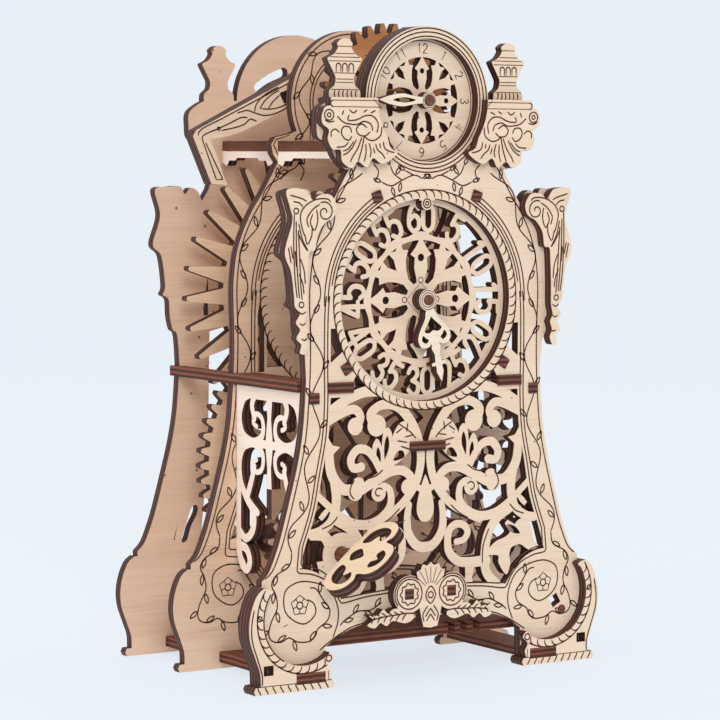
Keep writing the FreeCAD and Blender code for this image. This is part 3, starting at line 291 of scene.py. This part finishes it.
def arc(cx, cz, r, start=0.0, end=360.0, r_end=None):
    """An arc, or a spiral when r_end is given; angles in degrees from +X towards +Z."""
    r_end = r if r_end is None else r_end
    pieces = max(8, math.ceil(abs(math.radians(end - start)) * max(r, r_end) / 0.6))
    out = []
    for k in range(pieces + 1):
        t = k / pieces
        a, q = math.radians(start + (end - start) * t), r + (r_end - r) * t
        out.append((cx + q * math.cos(a), cz + q * math.sin(a)))
    return out


def around(centre, r, angle):
    """The point at a distance r from a centre, at an angle in degrees."""
    a = math.radians(angle)
    return centre[0] + r * math.cos(a), centre[1] + r * math.sin(a)


def flip(lines):
    """The same lines, mirrored to the other side."""
    return [[(-x, z) for x, z in line] for line in lines]


def leaf(x, z, angle, length=2.9, width=1.15):
    """A small outlined leaf on a short stalk."""
    a = math.radians(angle)
    ca, sa = math.cos(a), math.sin(a)
    shape = [(0, 0), (0.5, 0), (0.5 + length * 0.45, width / 2), (0.5 + length, 0),
             (0.5 + length * 0.45, -width / 2), (0.5, 0)]
    stalk = [(x + u * ca - v * sa, z + u * sa + v * ca) for u, v in shape[:2]]
    blade = [(x + u * ca - v * sa, z + u * sa + v * ca) for u, v in shape[1:]]
    return [stalk, smooth(blade[:-1], closed=True, step=0.5)]


def vine(spine, wave=1.9, period=16.0, phase=0.0, leaf_gap=8.0):
    """A wavy stem along a spine, with a leaf on alternate sides."""
    path = smooth(spine, step=0.8)
    run, stem, lines, next_leaf, side = 0.0, [], [], leaf_gap * 0.4, 1
    for i, (x, z) in enumerate(path):
        a, b = path[max(i - 1, 0)], path[min(i + 1, len(path) - 1)]
        tx, tz = b[0] - a[0], b[1] - a[1]
        size = math.hypot(tx, tz)
        tx, tz = tx / size, tz / size
        if i:
            run += math.dist(path[i - 1], path[i])
        swing = wave * math.sin(2 * math.pi * run / period + phase)
        px, pz = x - tz * swing, z + tx * swing
        stem.append((px, pz))
        if run >= next_leaf:
            heading = math.degrees(math.atan2(tz, tx)) + side * 38
            lines += leaf(px, pz, heading)
            side, next_leaf = -side, next_leaf + leaf_gap
    return [stem] + lines


def rope(cx, cz, r_in, r_out, start, end, count):
    """Hooked strokes that turn a band into a twisted rope."""
    step = (end - start) / count
    lines = []
    for k in range(count):
        line = []
        for depth, lean in ((0, 0), (0.45, 0.08), (0.75, 0.22), (0.95, 0.5), (1.0, 0.75)):
            a, r = math.radians(start + step * (k + lean)), r_in + (r_out - r_in) * depth
            line.append((cx + r * math.cos(a), cz + r * math.sin(a)))
        lines.append(line)
    return lines


def ribbon_mesh(lines, width):
    """Flat strips in the XZ plane; each line is a list of points in millimetres."""
    verts, faces = [], []
    for line in lines:
        line = [p for i, p in enumerate(line) if i == 0 or math.dist(p, line[i - 1]) > 1e-4]
        if len(line) < 2:
            continue
        base = len(verts)
        loop = math.dist(line[0], line[-1]) < 1e-3
        for i, (x, z) in enumerate(line):
            a = line[i - 1] if i else (line[-2] if loop else line[0])
            b = line[i + 1] if i < len(line) - 1 else (line[1] if loop else line[-1])
            tx, tz = b[0] - a[0], b[1] - a[1]
            size = math.hypot(tx, tz) or 1.0
            taper = 1.0 if loop or 0 < i < len(line) - 1 else 0.55
            half = width / 2 * taper
            verts += [(x - tz / size * half, z + tx / size * half),
                      (x + tz / size * half, z - tx / size * half)]
        for i in range(len(line) - 1):
            v = base + 2 * i
            faces.append((v, v + 1, v + 3, v + 2))
    return verts, faces


def engrave(name, lines, face_y, body="case", width=LINE):
    """Scorched lines on the front face of a sheet, whose face lies at face_y."""
    flat, faces = ribbon_mesh(lines, width)
    mesh = bpy.data.meshes.new(name)
    mesh.from_pydata([(x * MM, (face_y - PROUD) * MM, z * MM) for x, z in flat], [], faces)
    obj = bpy.data.objects.new(name, mesh)
    bpy.context.collection.objects.link(obj)
    mesh.materials.append(INK)
    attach(obj, body)


# ---- engraving of the plates --------------------------------------------------------------------
FLOWER, PETALS = (42.2, 23.6), 5    # the flower in the spiral of each leg
FOOT = (42.2, 20.5)                 # centre of the foot overlay's rope band
FOOT_IN, FOOT_OUT = 13.5, 15.6
STUD = (7.3, 24.4)                  # centre of the palmette's round stud
LEG_OUT = [(53.6, 31.8), (51.2, 33.9), (49.1, 38.2), (47.0, 44), (43.1, 58), (41.4, 65), (40.2, 72),
           (39.5, 80), (39.0, 90),
           (39.0, 100), (39.3, 108), (39.1, 114), (38.1, 121), (36.1, 127), (33.1, 132.6), (29.7, 137.4),
           (26.8, 142), (24, 146.2)]
WINDOW = [(32.7, 110), (33.2, 104), (33.3, 92), (33.2, 80), (33.9, 70), (35.9, 60), (37.9, 50), (41.4, 40)]


def leg_lines():
    """Borders, vine and spiral of the right leg."""
    lines = [smooth(LEG_OUT)]
    lines.append(smooth(WINDOW) + smooth([(41.8, 35.6), (41.5, 34.7), (39.0, 34.3), (35.2, 32.8),
                                          (31.9, 30.2), (29.8, 27.2),
                                          (28.2, 25.0), (26, 24.7), (20, 25.3), (9, 26.0)]))
    lines.append(smooth([(x + 1.1, z) for x, z in WINDOW])
                 + smooth([(43.1, 34.2), (42.6, 32.8), (38.4, 32.1), (33.9, 30.2), (30.6, 26.8),
                           (28.9, 23.7), (27.2, 23.2),
                           (20, 24.3), (9, 25.0)]))
    lines += [arc(0, DIAL_Z, 33.2, 0, 62), arc(0, DIAL_Z, 34.4, -2, 60), arc(0, DIAL_Z, 32.3, 8, 62)]
    lines += vine([(44.9, 38.6), (44.2, 44), (42, 50), (39.4, 60), (37.8, 70), (36.7, 80), (36.4, 90),
                   (37.3, 101),
                   (37.5, 110), (36.6, 120), (33.4, 130), (27.9, 138.5), (23.4, 145.2)], wave=1.8,
                   period=19.5, phase=3.1)
    lines += vine([(44.9, 38.6), (45.7, 35.0), (50, 32.6), (51.4, 30), (50, 27), (49.6, 23.4),
                   (51.4, 19.9), (52.3, 16.3),
                   (51.1, 14.3), (48.2, 13.8), (45.7, 14.8), (42.9, 13.4), (39, 13.2), (36.9, 14.8),
                   (36.2, 16.5),
                   (33, 18.7), (32.3, 21.7), (34.4, 24.5), (36.9, 27.9), (39, 28.3)], wave=0, leaf_gap=5.6)
    lines.append(smooth([(39.7, 25.1), (37.6, 23.8), (36.9, 21.4), (38.3, 19.4), (40.8, 18.3), (44, 19.4),
                         (46.8, 22),
                         (47.5, 25.6), (46.5, 28.5), (42.9, 30.2), (38.7, 30), (34.4, 28.6), (31.6, 26.4),
                         (29.6, 22.1),
                         (29.6, 17.9), (31.2, 13.6)]))
    lines.append(smooth([(18, 17.2), (24, 16.3), (28, 14.8), (32, 12.7), (35.6, 10.4)]))
    for k in range(PETALS):
        tip_angle = 90 + 360 / PETALS * k
        tip = around(FLOWER, 3.0, tip_angle)
        for spread in (-180 / PETALS, 180 / PETALS):
            lines.append([around(FLOWER, r, tip_angle + spread) for r in (1.0, 2.3)] + [tip])
    lines.append(arc(*FLOWER, 1.0))
    lines += vine([(28.9, 16.8), (27.4, 18.6), (24.6, 19.4), (21.6, 20.3), (18.1, 20.9), (14.5, 21.9)],
                  wave=0.4, period=9,
                  leaf_gap=3.6)
    lines.append(smooth([(18.4, 146.8), (16.6, 144.6), (17.8, 141.6)]))
    return lines


def crest_lines():
    """Scrolling twigs between the two dials."""
    right = [smooth([(1.6, 142.6), (4.6, 143.6), (8.6, 142.2), (12.2, 140.6), (15.4, 141.6)]),
             smooth([(8.6, 142.2), (11.4, 144.0), (12.6, 146.2)]), smooth([(4.6, 143.6), (7.4, 144.8)])]
    for x, z, a in ((1.8, 142.7, 160), (7.4, 144.8, 30), (9.0, 141.9, 280), (12.6, 146.2, 60),
                    (11.0, 143.6, 130),
                    (15.4, 141.6, 20), (12.2, 140.6, 250)):
        right += leaf(x, z, a, 2.5, 1.0)
    return right + flip(right)


def roof_disc_lines():
    """Left half of the disc that carries the hour arbor in the middle plate."""
    lines = [arc(0, TOP_Z, 19.9, 92, 212), arc(0, TOP_Z, 14.6, 92, 190) + [(-14.6, 148.4)],
             arc(0, TOP_Z, 13.6, 92, 190) + [(-13.6, 147.6)]]
    lines += vine(arc(0, TOP_Z, 17.3, 100, 214)[::6] + [(-19.6, 146.4), (-24, 141.4)], wave=1.1,
                  period=13, leaf_gap=6.2)
    lines.append([(-21.4, 155.0), (-26.2, 153.6), (-27.0, 152), (-24.2, 146.6)])
    lines.append([(-19.6, 154.2), (-19.0, 149.4), (-22.4, 145.4)])
    return lines


def plate_lines(name, y, upper):
    """Both legs, the rope band round the minute dial, and the lines above it."""
    lines = leg_lines()
    lines += flip(lines) + upper
    lines += rope(0, DIAL_Z, 29.2, 31.3, 0, 360, 72)
    lines.append(arc(0, DIAL_Z, 31.4))
    engrave(name + "_engraving", lines, y)


def front_details():
    """Rings of the hour dial's rim, mouldings of the pedestals and overlaps of the fretwork."""
    lines = [arc(0, TOP_Z, r) for r in (18.1, 19.3, 20.4)]
    lines += [arc(0, 135.6, r) for r in (1.3, 0.55)]
    right = []
    for z, half in ((167.4, 4.6), (169.4, 2.8), (170.3, 2.8), (172.0, 3.4), (175.3, 5.2), (176.4, 5.0),
                    (177.4, 3.2), (179.4, 2.2)):
        right.append([(28 - half, z), (28 + half, z)])
    for k in range(3):
        right.append([(25.15 + 2.1 * k, 172.2)] + arc(25.9 + 2.1 * k, 173.9, 0.75, 180,
                                                      0) + [(26.65 + 2.1 * k, 172.2)])
    for k in range(6):
        right.append(smooth([(24.2 + 1.4 * k, 165.3), (24.5 + 1.4 * k, 166.3), (24.2 + 1.4 * k, 167.2)]))
    right.append([(46.2, 18.6), (47.4, 18.0)])
    # Overlaps of the fretwork scrolls.
    right += [smooth([(14.6, 60.2), (17, 58.6), (20, 58)]), smooth([(8.8, 48.8), (12, 46.2), (15, 44.6)]),
              smooth([(24.2, 52.3), (25.6, 54), (25.4, 56), (24.2, 57.8)]),
              smooth([(20.2, 31), (20.4, 36), (22.4, 41)]),
              smooth([(3.4, 68.6), (5.4, 70.6), (9.2, 73)]), smooth([(6.6, 70.6), (6.2, 73.2)]),
              smooth([(4.4, 69.6), (7.2, 69.2)]),
              smooth([(8, 71.8), (10.2, 70.4)]), smooth([(5, 65.4), (8.6, 66.6)]),
              smooth([(6.4, 67.6), (9.8, 68.2)]),
              arc(16.0, 53.7, 1.5, 150, -120, r_end=0.8), smooth([(7.2, 45.4), (9, 44.6), (13, 44.4)]),
              smooth([(29.8, 47.8), (31.8, 45.8), (35, 44.6)])]
    lines += right + flip(right)
    engrave("front_details", lines, FRONT)


def foot_lines():
    """Rope band, base rope and border of the foot overlay."""
    right = [arc(*FOOT, FOOT_OUT, -118, 34), smooth([(56.2, 2.6), (56.2, 5.6), (57.6, 10), (59.3, 15),
                                                     (59.6, 19.5), (58.8, 24)])]
    right += rope(*FOOT, FOOT_IN, FOOT_OUT, -118, 34, 14)
    right.append(arc(*FOOT, FOOT_IN, -60, 34))
    right.append(arc(57.0, 21.4, 0.75))
    right.append(arc(34.4, 8.5, 0.9))
    right.append([(33.4, 2.35), (58, 2.35)])
    right.append([(34.4, 2.4), (34.6, 5.0)])
    for k in range(10):
        x = 34.6 + 2.45 * k
        right.append(smooth([(x, 0.1), (x + 0.25, 0.8), (x + 0.75, 1.5), (x + 1.0, 2.3)]))
    return right


def wing_lines():
    """Scroll, feathers and knobs of the side wing."""
    return [arc(36.3, 133.4, 3.0, 60, 560, r_end=0.4),
             smooth([(34.4, 136.2), (35.6, 137.1), (39.3, 136.9), (42.6, 135.2), (44.2, 132.8),
                     (43.9, 129.8), (42.9, 126.9)]),
             smooth([(37.9, 135.6), (40.2, 134.2), (42.1, 131.6), (41.5, 129.2)]),
             smooth([(47.6, 138.2), (46.1, 137.8), (43.8, 137.2), (42.2, 136.4)]),
             smooth([(46.6, 136.4), (44.6, 136.0), (43.4, 134.8)]), arc(45.6, 133.8, 0.8),
             smooth([(39.0, 134.2), (38.6, 131.2), (39.7, 128.4), (41.0, 130.6), (40.2, 133)]),
             smooth([(40.4, 129.6), (40.6, 126.8), (42, 124.6), (42.8, 127.4)]),
             smooth([(44.8, 130.4), (43.6, 126), (41.8, 122.8), (43.4, 124.8), (45.0, 127.8)]),
             smooth([(46.2, 133.0), (46.4, 125.1), (46.0, 116), (45.2, 109.8)]),
             smooth([(45.6, 131.0), (45.5, 123), (45.1, 116), (44.5, 109.6)]),
             smooth([(44.9, 128.6), (44.5, 122), (44.1, 114), (43.6, 109.2)]),
             smooth([(44.2, 120.6), (43.0, 117.4), (42.6, 113.6)]),
             smooth([(44.6, 116.4), (43.4, 113.6), (43.0, 110.8)]),
             smooth([(48.1, 123.8), (47.2, 119.4)]), smooth([(47.3, 124.2), (46.6, 120.6)]),
             smooth([(45.9, 122.8), (45.5, 118.4)]), arc(43.8, 107.9, 0.8),
             smooth([(42.4, 106.0), (43.6, 105.3), (44.8, 106.1)]),
             smooth([(42.4, 102.9), (43.4, 102.2), (44.4, 102.8)]),
             smooth([(41.8, 98.7), (42.8, 98.0), (43.8, 98.5)])]


def corbel_lines():
    """Scroll, knobs and hanging fronds of the corbel, with the pedestal's moulding."""
    right = [arc(35.0, 160.3, 1.5), arc(35.0, 160.3, 0.6), [(17.6, 164.4), (33.6, 164.4)],
             [(17.6, 162.6), (33.6, 162.6)], arc(33.6, 163.5, 0.9, 90, -90), [(20.4, 164.9), (17.6, 162.2)],
             smooth([(19.2, 155.4), (18.8, 158), (20.4, 160), (23, 160.2), (26, 159), (28.8, 158.9),
                     (28.4, 160.4)]),
             smooth([(20.6, 156.0), (21.2, 157.8), (23.6, 158.6), (26, 157.7), (30, 158.2), (32.4, 160.0)]),
             smooth([(22.4, 156.8), (24.4, 157.9), (26.0, 156.5), (25.2, 154.9), (23, 154.6),
                     (21.4, 155.8)]),
             smooth([(17.6, 157.2), (17.9, 154.8), (20.2, 153.3), (22.4, 153.7), (23.4, 154.6)]),
             smooth([(27.6, 155.4), (28.2, 156.9), (30.2, 157.1), (31, 155.6), (30.2, 154), (28.5, 153.3),
                     (27.5, 154.5)]),
             smooth([(31.6, 155.4), (33, 156.4), (34.3, 155.6), (34.2, 154.2)]),
             smooth([(33.2, 158.6), (35, 158.3), (36.5, 159.0)]),
             smooth([(19.6, 161.7), (21.4, 160.9)]), smooth([(22.4, 161.9), (23.8, 161.1)]),
             smooth([(25.8, 161.8), (27.0, 160.9), (28.4, 161.8)]), smooth([(30.2, 161.6), (30.8, 160.2)]),
             smooth([(15.4, 154.4), (14.8, 152.6), (13.6, 151.4)])]
    for line in (((23.4, 154.6), (24.2, 151), (25.0, 148.6), (25.4, 147.4)),
                 ((24.2, 154.2), (25.6, 151), (27.2, 148.8), (28.0, 147.2)),
                 ((26, 153.6), (27.4, 151.2), (29.0, 149.8), (30.4, 149.2)),
                 ((21.8, 152.6), (21.1, 150.2), (21.5, 148.6)),
                 ((19.6, 152.4), (19, 150.8), (17.4, 149.6), (16.4, 148.2)),
                 ((17, 153), (16.6, 151.2), (15, 150.3), (13.2, 150.0)),
                 ((22.9, 152.4), (22.8, 149.8), (23.4, 147.4)),
                 ((28.6, 152.8), (30.0, 151.6), (32.6, 151.4)),
                 ((20.4, 151.4), (19.8, 149.6)), ((18.2, 152.6), (18.0, 151.2)),
                 ((26.9, 153.0), (28.6, 151.0), (30.4, 150.3))):
        right.append(smooth(line))
    return right


def palmette_lines():
    """Fan, studs and tails of the apron's palmette."""
    lines = [arc(0, 23.7, 0.9), smooth([(0, 26.2), (1.7, 23.7), (0, 21.2), (-1.7, 23.7)], closed=True)]
    for k in range(-3, 4):
        a = math.radians(90 + 15 * k)
        lines.append([(2.6 * math.cos(a), 24.6 + 2.6 * math.sin(a)),
                      (7.6 * math.cos(a), 24.2 + 7.6 * math.sin(a))])
    right = [arc(*STUD, 4.3), arc(*STUD, 5.0, -40, 130)]
    right.append([around(STUD, 2.9 + 0.3 * math.cos(math.radians(9 * a)), a) for a in range(0, 361, 8)])
    right += [smooth([(1.0, 20.6), (2.6, 18.2), (2.2, 16)]), smooth([(0, 19.8), (1.8, 17.4)]),
              smooth([(0, 18.2), (1.4, 16.2)]),
              smooth([(4.6, 18.6), (8, 19.0), (12, 18.8), (16, 18.6), (20, 18.0)])]
    for k in range(6):
        x = 8.4 + 2.1 * k
        right.append(smooth([(x, 18.8), (x + 1.0, 17.8), (x + 1.3, 17.0)]))
        right.append(smooth([(x + 0.6, 18.9), (x + 1.6, 19.5), (x + 2.1, 19.8)]))
    return lines + right + flip(right)


def gable_lines():
    """Interlaced straps of the roof brackets."""
    return [smooth([(42.2, 156.5), (45.4, 155.4), (47.3, 154.2), (46.8, 152.2)]) + [(42.6, 141.9),
        (40.4, 142.0)]
            + smooth([(40.4, 142.0), (43.4, 147.4), (46.2, 152.6)]),
            smooth([(42.4, 156.5), (38.2, 158.2), (34.4, 159.9), (32.2, 159.9)]),
            smooth([(40.9, 156.1), (36.4, 157.0), (33.2, 158.0), (31.2, 159.5), (29.0, 158.8)]),
            smooth([(35.6, 161.2), (32.4, 162.0), (29.6, 161.3), (26.2, 160.6), (22.2, 161.4),
                    (18.2, 163.2)]),
            smooth([(29.7, 161.6), (29.3, 163.6), (27.2, 166.0), (24.4, 167.7), (21.6, 169.0)]),
            smooth([(28.0, 162.4), (26.4, 164.8), (23.8, 166.8), (21.4, 168.0)]),
            smooth([(27.4, 162.6), (24.2, 162.5), (20.8, 163.2), (18.2, 164.4)]),
            smooth([(25.0, 162.7), (23.6, 164.6), (21.2, 166.6)]),
            smooth([(48.6, 154.6), (47.6, 156.4), (40, 159.9), (30, 164.6), (18, 170.2)]),
            arc(41.8, 156.6, 0.5)]


def hour_numerals():
    """Single-stroke numerals round the hour dial, upright as seen from the centre."""
    strokes = {
        "0": [smooth([(0, 2.4), (-0.9, 1.2), (0, 0), (0.9, 1.2)], closed=True, step=0.3)],
        "1": [[(-0.5, 1.8), (0.1, 2.4), (0.1, 0)]],
        "2": [smooth([(-0.8, 1.8), (0, 2.4), (0.8, 1.7), (0, 0.8), (-0.8, 0)], step=0.3) + [(0.9, 0)]],
        "3": [smooth([(-0.7, 2.1), (0.2, 2.4), (0.7, 1.8), (0, 1.3), (0.8, 0.7), (0.1, 0), (-0.8, 0.3)],
                     step=0.3)],
        "4": [[(0.4, 0), (0.4, 2.4), (-0.8, 0.8), (0.9, 0.8)]],
        "5": [[(0.7, 2.4), (-0.6, 2.4), (-0.7, 1.3)] + smooth([(-0.7, 1.3), (0.3, 1.5), (0.8, 0.8),
                                                               (0.1, 0), (-0.8, 0.2)], step=0.3)],
        "6": [smooth([(0.6, 2.3), (-0.4, 1.9), (-0.8, 0.8), (0, 0), (0.8, 0.7), (0.1, 1.4), (-0.7, 0.9)],
                     step=0.3)],
        "7": [[(-0.8, 2.4), (0.8, 2.4), (-0.1, 0)]],
        "8": [smooth([(0, 1.3), (-0.6, 1.9), (0, 2.4), (0.6, 1.9), (0, 1.3), (-0.8, 0.7), (0, 0),
                      (0.8, 0.7)], closed=True, step=0.3)],
        "9": [smooth([(0.6, 1.5), (0, 1.0), (-0.7, 1.7), (0, 2.4), (0.7, 1.7), (0.4, 0.6), (-0.3, 0)],
                     step=0.3)],
    }
    lines = []
    for hour in range(1, 13):
        text = str(hour)
        a = math.radians(-30 * hour)
        ca, sa = math.cos(a), math.sin(a)
        for i, digit in enumerate(text):
            shift = (i - (len(text) - 1) / 2) * 2.0
            for stroke in strokes[digit]:
                lines.append([((u * 0.95 + shift) * ca - (w * 1.15 + 13.4) * sa,
                               TOP_Z + (u * 0.95 + shift) * sa + (w * 1.15 + 13.4) * ca) for u,
                               w in stroke])
    return lines


def dial_lines():
    """Diamond and roundels of the minute dial, numerals of the hour dial."""
    minute = []
    for k in range(4):
        a = math.radians(90 * k)
        b = math.radians(90 * k + 90)
        p = (4.9 * math.cos(a), DIAL_Z + 4.9 * math.sin(a))
        q = (4.9 * math.cos(b), DIAL_Z + 4.9 * math.sin(b))
        minute.append([p, q])
        minute.append(arc(5.6 * math.cos(a), DIAL_Z + 5.6 * math.sin(a), 0.8))
    engrave("minute_dial_engraving", minute, DIAL, width=0.26)
    engrave("hour_dial_engraving", hour_numerals() + [arc(0, TOP_Z, 17.0)], DIAL, width=0.30)


def hub_lines():
    """Rings on the hubs, which turn with the hands."""
    ring = [arc(0, DIAL_Z, r) for r in (2.75, 2.1)]
    engrave("minute_hub_rings", ring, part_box("minute_hand")[0].y / MM, body="minute_train", width=0.24)
    ring = [arc(0, TOP_Z, r) for r in (2.1, 1.65)]
    engrave("hour_hub_rings", ring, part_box("hour_hand")[0].y / MM, body="hour_train", width=0.2)


# ---- stage ---------------------------------------------------------------------------------------
def stage():
    """A pale sweep: floor that curves up into a back wall."""
    verts, faces = [], []
    half, radius, far = 3.0, 0.6, 1.4
    profile = [(-3.0, 0.0), (far, 0.0)]
    profile += [(far + radius * math.sin(math.radians(a)), radius - radius * math.cos(math.radians(a)))
                for a in range(6, 91, 6)]
    profile.append((far + radius, 3.5))
    for y, z in profile:
        verts += [(-half, y, z), (half, y, z)]
    for i in range(len(profile) - 1):
        faces.append((2 * i, 2 * i + 1, 2 * i + 3, 2 * i + 2))
    mesh = bpy.data.meshes.new("sweep")
    mesh.from_pydata(verts, [], faces)
    for polygon in mesh.polygons:
        polygon.use_smooth = True
    sweep = bpy.data.objects.new("sweep", mesh)
    sweep.rotation_euler = (0, 0, math.radians(-33))
    bpy.context.collection.objects.link(sweep)
    n = Nodes("pale_paper")
    pale = (*srgb(232, 239, 247), 1.0)
    shader = n.add("ShaderNodeBsdfPrincipled", {"Base Color": (0.16, 0.17, 0.18, 1.0), "Roughness": 1.0,
                                                 "Specular IOR Level": 0.0, "Emission Color": pale,
                                                 "Emission Strength": 0.84})
    n.add("ShaderNodeOutputMaterial", {"Surface": shader.outputs[0]})
    mesh.materials.append(n.material)


def area_light(name, place, aim, size, power, colour=(1, 1, 1)):
    data = bpy.data.lights.new(name, "AREA")
    data.size, data.energy, data.color = size, power, colour
    light = bpy.data.objects.new(name, data)
    light.location = place
    light.rotation_euler = (Vector(aim) - Vector(place)).to_track_quat("-Z", "Y").to_euler()
    bpy.context.collection.objects.link(light)


def lights():
    """Three soft lights and a pale world."""
    aim = (0, 0, 0.09)
    area_light("key", (-0.8, -1.6, 1.0), aim, 0.7, 12.5, (1.0, 0.98, 0.96))
    area_light("side", (-1.7, 0.1, 0.5), aim, 1.0, 7, (1.0, 0.98, 0.97))
    area_light("top", (0.1, 0.2, 1.6), aim, 1.2, 5)
    world = bpy.data.worlds.new("studio")
    world.use_nodes = True
    nodes, links = world.node_tree.nodes, world.node_tree.links
    glow = nodes["Background"]
    glow.inputs["Color"].default_value = (0.97, 0.97, 1.0, 1.0)
    glow.inputs["Strength"].default_value = 0.6
    # What shows past the sweep's edges is as pale as the sweep, and lights nothing.
    beyond = nodes.new("ShaderNodeBackground")
    beyond.inputs["Color"].default_value = (*srgb(232, 239, 247), 1.0)
    mix, rays = nodes.new("ShaderNodeMixShader"), nodes.new("ShaderNodeLightPath")
    links.new(rays.outputs["Is Camera Ray"], mix.inputs[0])
    links.new(glow.outputs[0], mix.inputs[1])
    links.new(beyond.outputs[0], mix.inputs[2])
    links.new(mix.outputs[0], nodes["World Output"].inputs["Surface"])
    bpy.context.scene.world = world
    bpy.context.scene.view_settings.view_transform = "Standard"


INK = burnt_line()
camera()
paint_nodes()
plate_lines("front_plate", FRONT, crest_lines())
plate_lines("middle_plate", MIDDLE, roof_disc_lines() + flip(roof_disc_lines()))
front_details()
feet = foot_lines()
wings = wing_lines()
corbels = corbel_lines()
engrave("foot_engraving", feet + flip(feet), OVERLAY)
engrave("wing_engraving", wings + flip(wings), OVERLAY)
engrave("corbel_engraving", corbels + flip(corbels), OVERLAY)
engrave("palmette_engraving", palmette_lines(), OVERLAY)
gables = gable_lines()
engrave("gable_engraving", gables + flip(gables), GABLE)
dial_lines()
hub_lines()
stage()
lights()
